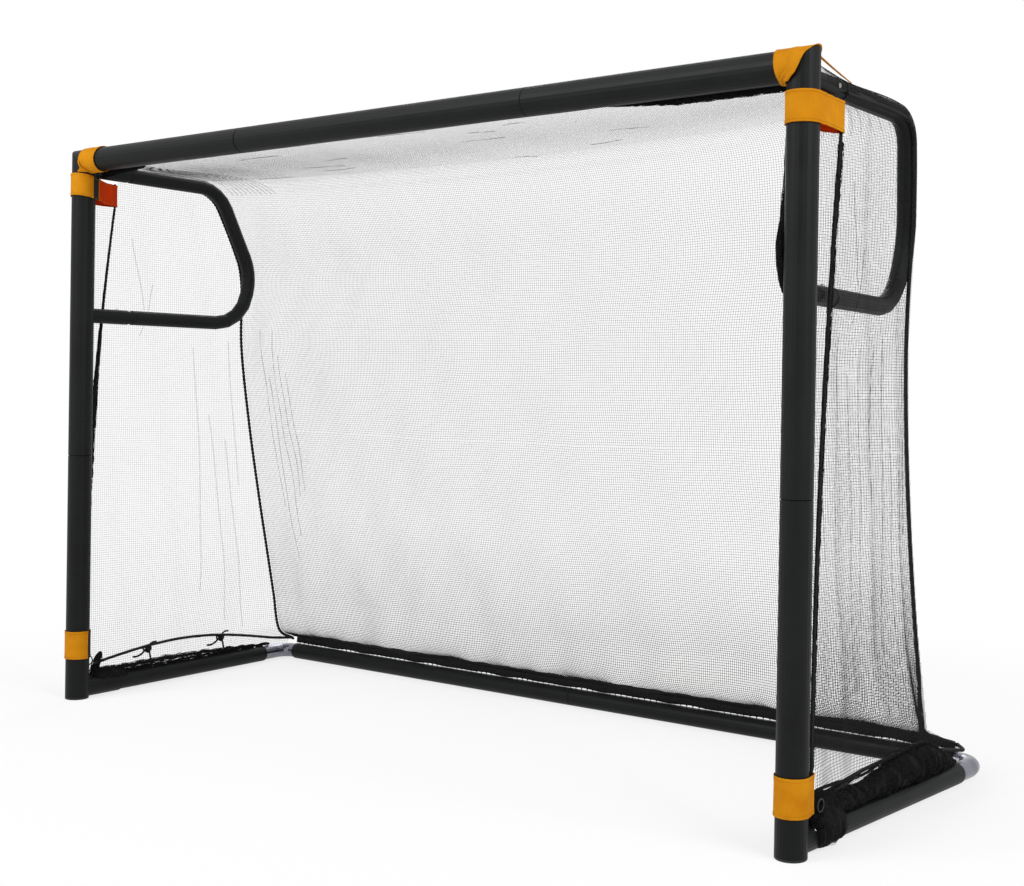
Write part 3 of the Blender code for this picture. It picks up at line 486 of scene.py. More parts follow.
@dataclass(frozen=True)
class StrapCloth(Finish):
    """Dyed polyester cloth, woven fine and brushed: matt and warm.

    The weave is about 0.4 mm on the real strap and is drawn six times as coarse, so that
    its rows show as a faint grain.
    """

    rib: float = 2.4 * MM
    slot: ClassVar[str] = "strap"
    settings: ClassVar[dict] = {"Roughness": 0.85, "Specular IOR Level": 0.1}

    def links(self, tree: Tree) -> dict:
        """The weave's rows on the cloth's own map, and its worn places."""
        place = add_node(tree, "UVMap", {"uv_map": "cloth"}).outputs["UV"]
        rows = {}
        for number, way in enumerate(("X", "Y")):
            settings = {
                "wave_type": "BANDS", "bands_direction": way, "wave_profile": "SIN",
                "Scale": math.tau / 20 / self.rib, "Distortion": 0.6, "Detail": 1.0,
            }
            rows[number] = add_node(tree, "TexWave", settings, {"Vector": place}).outputs["Fac"]
        weave = add_node(tree, "Math", {"operation": "MULTIPLY"}, rows).outputs[0]
        tone = add_node(
            tree, "Math", {"operation": "MULTIPLY_ADD", 1: 0.45},
            {0: weave, 2: grain(tree, 40 * MM, 2.0)},
        )
        return {
            "Base Color": ramp(tree, tone.outputs[0], self.dark, self.pale, 0.3, 1.0),
            "Normal": bump(tree, weave, 0.25, 0.3 * MM),
        }


class Look(Enum):
    """The finishes that the pieces share."""

    COAT = PowderCoat()
    STEEL = BareSteel()
    SPRING = NickelSpring()
    PLASTIC = MouldedPlastic()
    THREAD = NetThread()
    WEBBING = BlackWebbing()
    STRAP = StrapCloth("woven_orange_polyester", "#BE7708", "#D99215")
    # Painted shade: a darker, redder copy of the strap cloth, for the strap's faces that turn away from the light
    STRAP_BACK = StrapCloth("strap_polyester_painted_shade", "#C23200", "#DC3E02")
    STITCHING = StrapCloth("orange_sewing_thread", "#AE690A", "#CB8618")

    @cache
    def material(self) -> bpy.types.Material:
        """The finish's material, made once."""
        return self.value.build()


# Mesh making


@dataclass
class Skin:
    """A mesh as arrays: its points and its faces in groups of equal size."""

    points: Array
    faces: list[Array]
    uv: Optional[Array] = None

    def piece(
        self, name: str, *looks: Look, stands_for: str = "", smooth: bool = True,
        painted: Optional[Array] = None,
    ) -> bpy.types.Object:
        """Makes the shown piece and lets it ride on the frame.

        Args:
            name: The piece's name.
            looks: Its finishes. The first one's slot is the piece's.
            stands_for: The CAD node that it replaces.
            smooth: Whether its faces are shaded as one skin.
            painted: Which finish each face takes, where there is more than one.

        Returns:
            The new object.
        """
        mesh = bpy.data.meshes.new(name)
        points = (self.points.reshape(-1, 3) + ORIGIN).astype(np.float32)
        mesh.vertices.add(len(points))
        mesh.vertices.foreach_set("co", points.ravel())
        groups = [group for group in self.faces if len(group)]
        corners = np.concatenate([group.ravel() for group in groups]).astype(np.int32)
        sizes = np.concatenate([np.full(len(group), group.shape[1]) for group in groups])
        starts = np.concatenate([[0], np.cumsum(sizes)[:-1]]).astype(np.int32)
        mesh.loops.add(len(corners))
        mesh.loops.foreach_set("vertex_index", corners)
        mesh.polygons.add(len(sizes))
        mesh.polygons.foreach_set("loop_start", starts)
        mesh.polygons.foreach_set("use_smooth", np.full(len(sizes), smooth))
        if painted is not None:
            mesh.polygons.foreach_set("material_index", painted.astype(np.int32))
        mesh.update(calc_edges=True)
        if self.uv is not None:
            layer = mesh.uv_layers.new(name="cloth")
            layer.data.foreach_set("uv", self.uv[corners].astype(np.float32).ravel())
        for look in looks:
            mesh.materials.append(look.material())
        shown = bpy.data.objects.new(name, mesh)
        bpy.context.scene.collection.objects.link(shown)
        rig.ride(shown, "frame")
        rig.slot(shown, looks[0].value.slot)
        if stands_for:
            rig.replaces(shown, stands_for)
        LOG.info("%s: %d faces", name, len(sizes))
        return shown


def joined(skins: Sequence[Skin]) -> Skin:
    """Several skins as one, with a cloth map where all of them have one."""
    shifts = np.cumsum([0] + [skin.points.reshape(-1, 3).shape[0] for skin in skins])
    faces = [group + shift for skin, shift in zip(skins, shifts) for group in skin.faces]
    points = np.concatenate([skin.points.reshape(-1, 3) for skin in skins])
    mapped = all(skin.uv is not None for skin in skins)
    return Skin(points, faces, np.concatenate([skin.uv for skin in skins]) if mapped else None)


def unit(vectors: Array) -> Array:
    """Each vector at length one."""
    return vectors / np.maximum(np.linalg.norm(vectors, axis=-1, keepdims=True), 1e-12)


def together(*parts: Array) -> Array:
    """Coordinates, spread to one shape, side by side in a last axis."""
    return np.stack(np.broadcast_arrays(*parts), -1)


def shares(count: int) -> Array:
    """This many numbers from 0 to 1."""
    return np.linspace(0, 1, count)


def round_angles(sides: int) -> Array:
    """The angles of a ring's corners."""
    return math.tau * np.arange(sides) / sides


def turned(angle: Array, first: Array, second: Array) -> Array:
    """The direction at each angle from the first one towards the second."""
    angle = np.asarray(angle)[..., None]
    return np.cos(angle) * first + np.sin(angle) * second


def waves(x: Array, t: Array, terms: Sequence[tuple[float, ...]]) -> Array:
    """A sum of waves, each given as its height, its rates along x and t and its phase."""
    return sum(size * np.sin(x * along + t * down + phase) for size, along, down, phase in terms)


def lengths_along(points: Array) -> Array:
    """How far each point lies along its line."""
    steps = np.linalg.norm(np.diff(points, axis=0), axis=1)
    return np.concatenate([[0.0], np.cumsum(steps)])


def read_line(points: Array, place: Array, where: Array) -> Array:
    """The points at these distances along a line, whose own points lie at place."""
    return together(*(np.interp(where, place, column) for column in points.T))


def hermite(knots: Array, values: Array, where: Array) -> Array:
    """Reads a smooth curve through values that are given at knots.

    Args:
        knots: Rising numbers.
        values: A row for each knot.
        where: The numbers to read at, of any shape.

    Returns:
        A row for each number in where.
    """
    slopes = np.gradient(values, knots, axis=0)
    at = np.clip(where, knots[0], knots[-1])
    low = np.clip(np.searchsorted(knots, at, side="right") - 1, 0, len(knots) - 2)
    span = knots[low + 1] - knots[low]
    t = ((at - knots[low]) / span)[..., None]
    span = span[..., None]
    start = (2 * t**3 - 3 * t**2 + 1) * values[low] + (t**3 - 2 * t**2 + t) * span * slopes[low]
    end = (3 * t**2 - 2 * t**3) * values[low + 1] + (t**3 - t**2) * span * slopes[low + 1]
    return start + end


class Route:
    """A smooth line through points, read by its length."""

    def __init__(self, points: Array, spacing: float = 2 * MM) -> None:
        """Lays the line through points, with its own points this far apart."""
        rough = lengths_along(points)
        count = max(int(rough[-1] / spacing), 8)
        self.points = hermite(rough, points, np.linspace(0, rough[-1], count))
        self.place = lengths_along(self.points)
        self.length = float(self.place[-1])

    def at(self, share: Array) -> Array:
        """The points at these shares of the length."""
        return read_line(self.points, self.place, share * self.length)

    def spaced(self, step: float) -> Array:
        """Points a step apart, with both ends."""
        return self.at(shares(max(int(round(self.length / step)), 2) + 1))


def ring_skin(rings: Array) -> Skin:
    """Closed skins through rings of points, (..., rings, sides, 3), with their end caps."""
    index = np.arange(rings.size // 3).reshape(-1, *rings.shape[-3:-1])
    near, far = index[:, :-1], index[:, 1:]
    quads = np.stack([near, np.roll(near, -1, 2), np.roll(far, -1, 2), far], -1)
    caps = np.concatenate([index[:, 0, ::-1], index[:, -1]])
    return Skin(rings, [quads.reshape(-1, 4), caps])


def tube_skin(points: Array, radii: Array, sides: int) -> Skin:
    """A closed tube along a line, on which its sides run without twist.

    Args:
        points: The line's points, (n, 3).
        radii: The radius at each point and side, (n, sides), or one that all share.
        sides: How many sides it has.

    Returns:
        The tube with its end caps.
    """
    ahead = unit(np.gradient(points, axis=0))
    side = unit(np.cross(ahead[0], SKEW))
    sides_out = np.empty_like(points)
    for number, way in enumerate(ahead):
        side = unit(side - way * (side @ way))
        sides_out[number] = side
    radii = np.broadcast_to(radii, (len(points), sides))[..., None]
    around = turned(round_angles(sides), sides_out[:, None], np.cross(ahead, sides_out)[:, None])
    return ring_skin(points[:, None] + around * radii)


def thread_skin(paths: Array, radius: Array, sides: int = 3) -> Skin:
    """Many closed threads of as many points each.

    Args:
        paths: The threads' points, (threads, points, 3).
        radius: The threads' radius, one that all share or one for each point.
        sides: How many sides a thread has.

    Returns:
        All the threads as one skin.
    """
    ahead = unit(np.gradient(paths, axis=1))
    first = unit(SKEW - (ahead @ SKEW)[..., None] * ahead)
    second = np.cross(ahead, first)
    radius = np.broadcast_to(radius, paths.shape[:2])[..., None, None]
    around = turned(round_angles(sides), first[:, :, None], second[:, :, None])
    return ring_skin(paths[:, :, None] + radius * around)


def cloth_skin(middle: Array, out: Array, thickness: Array, cloth: Array) -> Skin:
    """A strip of cloth with its thickness and its four edges.

    Args:
        middle: The cloth's middle surface, (rows, columns, 3).
        out: The direction out of its face at each point, or one that they share.
        thickness: The thickness at each point, or one that all share.
        cloth: Each point's place on the flat cloth, (rows, columns, 2), in metres.

    Returns:
        A closed skin: face, back and edges.
    """
    rows, columns = middle.shape[:2]
    half = np.broadcast_to(np.asarray(thickness) / 2, (rows, columns))[..., None]
    points = np.stack([middle + out * half, middle - out * half])
    index = np.arange(rows * columns).reshape(rows, columns)
    face = np.stack([index[:-1, :-1], index[:-1, 1:], index[1:, 1:], index[1:, :-1]], -1)
    face = face.reshape(-1, 4)
    back = rows * columns
    rim = np.concatenate([index[0, :], index[1:, -1], index[-1, -2::-1], index[-2:0:-1, 0]])
    following = np.roll(rim, -1)
    edge = np.stack([rim, rim + back, following + back, following], -1)
    uv = np.concatenate([cloth.reshape(-1, 2)] * 2)
    return Skin(points, [face, face[:, ::-1] + back, edge], uv)


# Where the tubes and cords run


def rounded(corners: Array, bends: Sequence[float], steps: int) -> Array:
    """Straight runs joined by arcs.

    Args:
        corners: The runs' meeting points.
        bends: The bend radius at each inner corner.
        steps: How many steps an arc has.

    Returns:
        The points along it.
    """
    points = [corners[0]]
    for before, corner, after, bend in zip(corners, corners[1:], corners[2:], bends):
        towards, away = unit(before - corner), unit(after - corner)
        half = math.acos(float(towards @ away)) / 2
        centre = corner + unit(towards + away) * (bend / math.sin(half))
        first = corner + towards * bend / math.tan(half) - centre
        last = corner + away * bend / math.tan(half) - centre
        sweep = math.pi - 2 * half
        for share in np.arange(steps + 1) / steps:
            arc = first * math.sin((1 - share) * sweep) + last * math.sin(share * sweep)
            points.append(centre + arc / math.sin(sweep))
    return np.array(points + [corners[-1]])


@dataclass(frozen=True)
class GoalLines:
    """The frame's sizes and the lines that its tubes and cords follow."""

    post_radius: float = 25 * MM
    bar_height: float = 1.175
    loop_radius: float = 16 * MM
    loop_top: float = 1.158
    loop_low: float = 0.839
    loop_bends: tuple[float, ...] = (0.072, 0.125, 0.095)
    side_radius: float = 19 * MM
    socket_start: float = 21.4 * MM
    rear_x: float = 0.913
    depth: float = 0.645
    bend_steps: int = 8
    free_rows: int = 5
    cord_radius: float = 3 * MM
    ground_cord_radius: float = 3.4 * MM
    seam_cord_radius: float = 3.8 * MM
    net_to_seam: float = 4.75 * MM
    seam_angle: float = -25.0
    wrap_angles: tuple[float, ...] = tuple(np.linspace(-11, 95, 9))
    wrap_radius: float = 17.4 * MM
    front_wrap_radius: float = 23.5 * MM
    roof_front: float = 28.45 * MM
    front_out: float = 16.5 * MM
    front_low: float = 29 * MM
    front_top: float = 93 * MM
    front_foot: float = 0.149
    front_head: float = 1.087

    def post(self, side: Side, height: float) -> Array:
        """A point on a post's axis."""
        return np.array((side.sign * POST_X, 0.0, height))

    def loop(self, side: Side) -> Array:
        """The side loop's axis, from its upper arm to its lower one."""
        corners = np.array([
            (side.sign * (POST_X - inward), reach, height) for inward, reach, height in (
                (0, 0, self.loop_top), (0, 0.374, self.loop_top), (0.030, 0.448, 0.966),
                (0.038, 0.419, self.loop_low), (0, 0, self.loop_low),
            )
        ])
        return rounded(corners, self.loop_bends, self.bend_steps)

    def side_axis(self, side: Side, reach: Array) -> Array:
        """The side tube's axis at these distances behind the posts."""
        start = self.post(side, self.socket_start)
        rear = np.array((side.sign * self.rear_x, self.depth, self.side_radius))
        return start + (rear - start) * np.asarray(reach)[..., None] / self.depth

    def held(self, side: Side) -> tuple[Array, Array, Array]:
        """The part of the loop's axis that the net passes over.

        Args:
            side: The goal's end.

        Returns:
            Its points, and at each the directions outboard and out of the loop.
        """
        axis = self.loop(side)[: self.bend_steps + 4 + self.bend_steps // 2]
        axis[0] = self.post(side, self.loop_top) + Y_AXIS * 0.110
        ahead = unit(np.gradient(axis, axis=0))
        outward = unit(np.cross(X_AXIS, ahead))
        level = np.cross(ahead, outward) * side.sign
        return axis[:-1], level[:-1], outward[:-1]

    def around(self, side: Side, angle: float, radius: float) -> Array:
        """The line beside the loop's axis, this many degrees above level outboard."""
        axis, level, outward = self.held(side)
        return axis + turned(math.radians(angle), level, outward) * radius

    def seam(self, side: Side) -> Array:
        """The seam cord's line, from the upper arm over the loop to the rear corner."""
        radius = self.loop_radius + 0.5 * MM + self.cord_radius
        points = list(self.around(side, self.seam_angle, radius))
        top = points[-1]
        foot = np.array((side.sign * (POST_X - 0.029), self.depth - 0.087, 0.090))
        for share in np.arange(1, self.free_rows + 1) / self.free_rows:
            inward = 0.007 * 4 * share * (1 - share)
            forward = 0.030 * math.sin(math.pi * share**0.7)
            points.append(top + (foot - top) * share - side.out * inward - Y_AXIS * forward)
        points.insert(-1, (points[-2] + points[-1]) / 2)
        end = np.array((side.sign * (self.rear_x - 0.033), self.depth - 0.006, 0.050))
        return np.array(points + [end])

    def front_reach(self, height: Array) -> Array:
        """How far behind the post's axis the net's front edge lies at this height."""
        share = (height - self.front_foot) / (self.front_head - self.front_foot)
        return self.front_low + (self.front_top - self.front_low) * np.clip(share, 0, 1) ** 2

    def front(self, side: Side, height: Array, back: float = 0.0) -> Array:
        """The front cord's line at these heights, or one this far behind it."""
        x = side.sign * (POST_X + self.front_out)
        return together(x, self.front_reach(height) + back, height)

    def ground(self, side: Side, count: int = 40) -> Array:
        """The cord that gathers the foot of a side net, above the side tube."""
        share = shares(count)
        reach = 0.045 + 0.540 * share
        height = 0.070 + 0.029 * np.sin(math.pi * share) - 0.014 * share
        return together(self.side_axis(side, reach)[:, 0], reach, height)

    def wide_edge(self, side: Side) -> Array:
        """The roof's and the back's ends on one side, over the loop and down to the hem.

        Args:
            side: The goal's end.

        Returns:
            Lines from the crossbar to the hem, from the seam inwards, (lines, rows, 3).
        """
        free = self.seam(side)[len(self.held(side)[0]) :].copy()
        free[-1, 2] = 56 * MM
        mouth = self.post(side, self.loop_top) + Y_AXIS * self.roof_front
        lines = []
        for angle, share in zip(self.wrap_angles, shares(len(self.wrap_angles))):
            way = turned(math.radians(angle), side.out, UP)
            inset, back = 3 * MM + 21 * MM * share**1.2, 3.7 * MM + 5.3 * MM * share
            back = np.where(np.arange(len(free)) < len(free) - 1, back, 0.0)[:, None]
            lines.append(np.concatenate([
                [mouth + way * self.front_wrap_radius],
                self.around(side, angle, self.wrap_radius),
                free - side.out * inset + Y_AXIS * back,
            ]))
        return np.array(lines)


LINES = GoalLines()



def say_net(piece: bpy.types.Object, flat: tuple[float, float], rests_on: list[str]) -> None:
    """Says what a panel of net is, by its flat width and height."""
    area = NET_SHARE * flat[0] * flat[1]
    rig.sheet(piece, flat=flat, held="hung", rests_on=rests_on, area=area)


def say_cord(
    piece: bpy.types.Object, route: Route, radius: float, far_end: str, lay: str,
    step: float, digits: int,
) -> None:
    """Says what a cord is.

    Args:
        piece: The shown cord.
        route: Its line.
        radius: Its radius.
        far_end: What is on its end.
        lay: How it lies.
        step: How close the points are that say its line.
        digits: The digits of its length.
    """
    path = route.spaced(step) + ORIGIN
    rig.cord(
        piece, exit=tuple(path[0]), length=round(route.length, digits), diameter=2 * radius,
        far_end=far_end, stiffness="limp", lay=lay, path=[tuple(point) for point in path],
    )


# The net


@dataclass
class WideNet:
    """The roof and the back: one cloth from the crossbar's hem to the rear hem.

    Its places are u, the share of the width from the left, and t, the distance from the
    crossbar along its edge.
    """

    pitch: float = 5 * MM
    thread: float = 0.50 * MM
    ridge_drop: float = 30 * MM
    ridge_sag: float = 20 * MM
    back_sag: float = 35 * MM
    back_hang: float = 0.6
    down_step: float = 20 * MM
    across_step: float = 24 * MM
    slack: tuple[tuple[float, ...], ...] = (
        (2.2, 17, 9, 0.4), (1.8, 29, -13, 1.9), (1.2, 8, 31, 2.7), (0.8, 61, 37, 0.9),
    )

    def __post_init__(self) -> None:
        """Works out the cloth's ends over the loops and how far each row bellies."""
        edges = [LINES.wide_edge(side) for side in Side]
        inner = edges[0][-1]
        self.knots = lengths_along(inner)
        self.length = float(self.knots[-1])
        self.leaves = float(self.knots[len(LINES.held(Side.LEFT)[0])])
        self.wraps = len(LINES.wrap_angles)
        wrap = math.radians(LINES.wrap_angles[-1] - LINES.wrap_angles[0]) * LINES.wrap_radius
        self.width = 2 * POST_X + 2 * wrap
        self.wrap_share = wrap / self.width
        ridge = np.array((0.0, -self.ridge_sag, -self.ridge_drop))
        turn = 2 + LINES.bend_steps // 2
        self.turn = float(self.knots[turn])
        gone = np.clip((inner[:, 1] - inner[0, 1]) / (inner[turn, 1] - inner[0, 1]), 0, 1)
        drop = np.clip((inner[turn, 2] - inner[:, 2]) / (inner[turn, 2] - inner[-1, 2]), 0, 1)
        hang = drop[:, None] ** self.back_hang
        sag = -self.back_sag * np.sin(math.pi * hang)
        on_roof = (np.arange(len(inner)) < turn)[:, None]
        self.belly = np.where(on_roof, ridge * gone[:, None], ridge * (1 - hang) + Y_AXIS * sag)
        self.edges = [edge.transpose(1, 0, 2).reshape(len(inner), -1) for edge in edges]

    def between(self, u: Array) -> Array:
        """The share of the way from the left wrap to the right one."""
        return np.clip((u - self.wrap_share) / (1 - 2 * self.wrap_share), 0, 1)

    def plain(self, u: Array, t: Array) -> Array:
        """The cloth's points without its folds."""
        u, t = np.broadcast_arrays(u, t)
        ends = [hermite(self.knots, edge, t).reshape(*t.shape, -1, 3) for edge in self.edges]
        s = self.between(u)[..., None]
        left, right = (end[..., -1, :] for end in ends)
        points = left + (right - left) * s + hermite(self.knots, self.belly, t) * 4 * s * (1 - s)
        for end, place in zip(ends, (u, 1 - u)):
            spot = np.clip(place / self.wrap_share, 0, 1) * (self.wraps - 1)
            low = np.minimum(spot.astype(int), self.wraps - 2)[..., None, None]
            first = np.take_along_axis(end, low, -2)[..., 0, :]
            second = np.take_along_axis(end, low + 1, -2)[..., 0, :]
            wrapped = first + (second - first) * (spot - low[..., 0, 0])[..., None]
            points = np.where((place < self.wrap_share)[..., None], wrapped, points)
        return points

    def relief(self, u: Array, t: Array) -> Array:
        """How far the cloth's waves stand out of it, calm on the roof and ruffled low down."""
        x = u * self.width
        low = np.clip((t - 0.75 * self.length) / (0.25 * self.length), 0, 1)
        ruffle = 4.0 * low**2 * np.sin(x * 52 + 1.3 * np.sin(x * 7)) * np.sin(math.pi * low**0.6)
        s = self.between(u)
        edge = np.minimum(1, 25 * s * (1 - s)) * np.minimum(1, (self.length - t) / 0.03)
        edge = edge * np.minimum(1, t / 0.05)
        calm = 0.12 + 0.88 * np.clip((t - self.turn) / 0.2, 0, 1)
        return MM * (waves(x, t, self.slack) * calm + ruffle) * edge

    def point(self, u: Array, t: Array, lift: float = 0.0) -> Array:
        """The cloth's points with its folds, this far above its face."""
        step = 2 * MM
        base = self.plain(u, t)
        along_u = self.plain(u + step, t) - base
        after, before = np.minimum(t + step, self.length), np.maximum(t - step, 0)
        along_t = self.plain(u, after) - self.plain(u, before)
        out = unit(np.cross(along_u, along_t))
        return base - out * (self.relief(u, t) + lift)[..., None]

    def radius(self, t: Array) -> Array:
        """The threads' radius: the cloth is crowded low down and stretched on the roof."""
        turn = self.turn / self.length
        share = (0.0, turn, turn + 0.1, 0.74, 0.9, 1.0)
        size = (0.40, 0.40, 0.50, 0.52, 0.86, 1.05)
        return MM * np.interp(t / self.length, share, size) / 2

    def weave(self, start: float, end: float) -> Skin:
        """The threads between two distances along the cloth.

        Args:
            start: Where the panel starts.
            end: Where it ends.

        Returns:
            All its threads, down and across, which touch where they cross.
        """
        lift = 0.45 * self.thread / 2
        columns = int(self.width / self.pitch)
        u = (np.arange(columns) + 0.5) / columns
        count = max(int((end - start) / self.down_step), 3)
        t = np.linspace(start, end, count + 1)
        wander = 0.0012 * np.sin(t * 23 + 1.1)[None] * np.sin(u * 19)[:, None]
        down = self.point(u[:, None] + wander, t[None], lift)
        rows = np.arange(start + self.pitch / 2, end, self.pitch)
        wrap = np.linspace(0, self.wrap_share, self.wraps)
        inner = int(2 * POST_X / self.across_step)
        span = np.linspace(self.wrap_share, 1 - self.wrap_share, inner + 1)[1:-1]
        u = np.concatenate([wrap, span, 1 - wrap[::-1]])
        drift = 1.6 * MM * np.sin(u * 21 + 0.6)[None] * np.sin(rows * 14)[:, None]
        across = self.point(u[None], rows[:, None] + drift, -lift)
        skins = [
            thread_skin(down, self.radius(t)[None]),
            thread_skin(across, self.radius(rows)[:, None]),
        ]
        if start < self.leaves:
            # Over the loops the cloth is bunched up, so its threads lie close together.
            t = np.linspace(start, min(end, self.leaves), count + 1)
            u = np.linspace(0, self.wrap_share, 4 * self.wraps, endpoint=False)
            u = np.concatenate([u, 1 - u])[:, None]
            skins.append(thread_skin(self.point(u, t[None], lift), 0.6 * self.radius(t)[None]))
        return joined(skins)

    def creases(self) -> Skin:
        """Fine creases, where threads lie together.

        Returns:
            A fan of them over each loop's arm, wrinkles behind the crossbar and upright ones
            in the back near the loops.
        """
        span = shares(30)
        numbers = np.random.default_rng(3)
        lines = []
        for mirrored in (False, True):
            made = []
            for k in range(10):
                u = 0.030 + 0.0028 * k + (0.004 + 0.0072 * k) * span**1.4
                made.append((u, 0.085 + (self.turn + 0.02 - 0.085) * span))
            for k in range(5):
                start, end = numbers.uniform(0.45, 0.55), numbers.uniform(0.68, 0.92)
                u = 0.040 + 0.013 * k + 0.012 * span + 0.002 * np.sin(7 * span + k)
                made.append((u, self.length * (start + (end - start) * span)))
            lines += [(1 - u, t) if mirrored else (u, t) for u, t in made]
        for _ in range(14):
            start = numbers.uniform(0.12, 0.82)
            t = numbers.uniform(0.03, 0.9 * self.turn)
            t = t + 5 * MM * np.sin(3 * span + numbers.uniform(0, 6)) * numbers.uniform(0.3, 1)
            lines.append((start + numbers.uniform(0.025, 0.07) * span, t))
        u = np.array([u + 0.0004 * side for u, t in lines for side in (-1, 1)])
        t = np.array([t + 0.7 * MM * side for u, t in lines for side in (-1, 1)])
        return thread_skin(self.point(u, t, -0.4 * MM), 0.2 * MM)

    def build(self) -> None:
        """Makes the roof and the two halves of the back."""
        middle = self.turn + 0.5 * (self.length - self.turn)
        for name, start, end, node in (
            ("net_roof", 0.0, self.turn, "roof_net"),
            ("net_back_upper", self.turn, middle, "back_net"),
            ("net_back_lower", middle, self.length, ""),
        ):
            skin = self.weave(start, end)
            piece = skin.piece(name, Look.THREAD, stands_for=node, smooth=False)
            say_net(piece, (self.width, end - start), ["crossbar_hem"])
        self.creases().piece("net_creases", Look.THREAD, smooth=False)


@dataclass
class SideNet:
    """The net panel at one end, from the front cord to the seam cord.

    Between the heights open_from and open_to, which lie between the straps, it reaches
    forward to the post. Its threads are this many times as thick at its crowded foot.
    """

    side: Side
    thread: float
    crowded: float
    open_from: float
    open_to: float
    flat_width: float = 0.44
    pitch: float = 5 * MM
    points_down: int = 44
    points_across: int = 22
    folds: tuple[tuple[float, ...], ...] = (
        (0.30, 0.34, 0.78, 0.20), (0.34, 0.42, 0.62, 0.12), (0.39, 0.47, 0.56, 0.10),
        (0.40, 0.43, 0.80, 0.45), (0.14, 0.17, 1.02, 0.86), (0.20, 0.16, 0.92, 0.80),
    )

    def __post_init__(self) -> None:
        """Works out the panel's edges and its waves."""
        line = LINES.seam(self.side) + self.side.out * LINES.net_to_seam
        self.front_x, _, self.top = (float(part) for part in line[0])
        self.rear = line[1 + LINES.bend_steps // 4 :][::-1]
        self.foot = LINES.ground(self.side)
        axis = LINES.side_axis(self.side, self.foot[:, 1])
        self.foot[:, 2] = axis[:, 2] + LINES.side_radius + 2 * MM
        phase = 0.0 if self.side is Side.LEFT else 1.4
        self.slack = ((2.4, 41, 6, phase), (1.5, 23, -17, 2 * phase), (0.8, 83, 11, phase))

    def edges_at(self, height: Array) -> tuple[Array, Array, Array]:
        """The front edge's reach, the rear edge's reach and the rear edge's x at a height."""
        between = (height > self.open_from) & (height < self.open_to)
        front = np.where(between, 21 * MM, LINES.front_reach(height) + 10.5 * MM)
        rear = np.interp(height, self.rear[:, 2], self.rear[:, 1])
        return front, rear, np.interp(height, self.rear[:, 2], self.rear[:, 0])

    def surface(self, reach: Array, height: Array, lift: float) -> Array:
        """The points of the hung panel.

        Args:
            reach: The distance behind the posts.
            height: The height above the ground.
            lift: How far out of the cloth's face.

        Returns:
            The points.
        """
        front, rear, rear_x = self.edges_at(height)
        share = np.clip((reach - front) / np.maximum(rear - front, 1e-6), 0, 1)
        x = self.front_x + (rear_x - self.front_x) * share
        x = x - self.side.sign * 6 * MM * np.clip((0.06 - reach) / 0.04, 0, 1)
        foot_x = np.interp(reach, self.foot[:, 1], self.foot[:, 0])
        low = np.clip((0.30 - height) / 0.22, 0, 1)
        low = low * low * (3 - 2 * low) * np.sin(math.pi * np.clip(share, 0.02, 0.98)) ** 1.1
        x = x + (foot_x - x) * low
        held = np.minimum(1, 5 * share) * np.minimum(1, 5 * (1 - share))
        hung = np.minimum(1, np.maximum(self.top - height, 0) / 0.05)
        out = MM * waves(reach, height, self.slack) * held * hung + lift
        return together(x + self.side.sign * out, reach, height)

    def threads(self, way: ThreadWay) -> Array:
        """The panel's threads that run one way, clipped to its edges.

        Args:
            way: Down or across.

        Returns:
            The threads' points, (threads, points, 3).
        """
        down = way is ThreadWay.DOWN
        fine = 2 * MM
        reaches = np.arange(0.021, 0.63, self.pitch if down else fine)
        heights = np.arange(0.042, self.top, fine if down else self.pitch)
        y, z = np.meshgrid(reaches, heights, indexing="ij")
        front, rear, _ = self.edges_at(z)
        foot = np.interp(y, self.foot[:, 1], self.foot[:, 2])
        inside = (y >= front) & (y <= rear) & (z >= foot)
        if not down:
            inside, y, z = inside.T, y.T, z.T
        share = shares(self.points_down if down else self.points_across)[:, None]
        lines = []
        for row, shown in enumerate(inside):
            marks = np.flatnonzero(np.diff(np.concatenate([[0], shown.astype(int), [0]])))
            for start, stop in zip(marks[::2], marks[1::2]):
                if stop - start >= 4:
                    ends = np.array([(y[row, i], z[row, i]) for i in (start, stop - 1)])
                    lines.append(ends[0] + (ends[1] - ends[0]) * share)
        lines = np.array(lines)
        wander = 0.25 * MM * np.sin(lines[..., 1] * 37 + lines[..., 0] * 23)
        lines[..., 0 if down else 1] += wander
        return self.surface(lines[..., 0], lines[..., 1], 0.22 * self.thread * way.value)

    def build(self) -> None:
        """Makes the panel with its folds, where two threads lie side by side."""
        span = shares(30)
        folds = []
        for k, (start, end, high, low) in enumerate(self.folds):
            reach = start + (end - start) * span + 3 * MM * np.sin(5 * span + k)
            folds += [(reach + 0.9 * MM * n, high + (low - high) * span) for n in (-1, 1)]
        reach, height = (np.array(values) for values in zip(*folds))
        skins = [thread_skin(self.surface(reach, height, 0.4 * MM), 0.19 * MM)]
        for way in ThreadWay:
            paths = self.threads(way)
            swell = np.interp(paths[..., 2], (0.07, 0.20, 0.42), (self.crowded, self.crowded, 1.0))
            skins.append(thread_skin(paths, self.thread / 2 * swell))
        node = self.side.node
        piece = joined(skins).piece(
            node("net_side"), Look.THREAD, stands_for=node("side_net"), smooth=False
        )
        flat = (self.flat_width, self.top - 0.07)
        say_net(piece, flat, [node("loop_upper"), node("lower_post")])


# Cords


def braid(route: Route, radius: float, step: float = 1.5 * MM, sides: int = 8) -> Skin:
    """A braided cord: its strands stand up in two crossing spirals.

    Args:
        route: The cord's line.
        radius: Its radius over the strands.
        step: How close its rings lie.
        sides: How many sides it has.

    Returns:
        The cord's skin.
    """
    points = route.spaced(step)
    angle = round_angles(sides)[None]
    turn = math.tau * np.linspace(0, route.length, len(points))[:, None] / (9 * MM)
    swell = np.maximum(np.cos(2 * angle + turn), np.cos(2 * angle - turn))
    return tube_skin(points, radius * (0.86 + 0.14 * swell), sides)


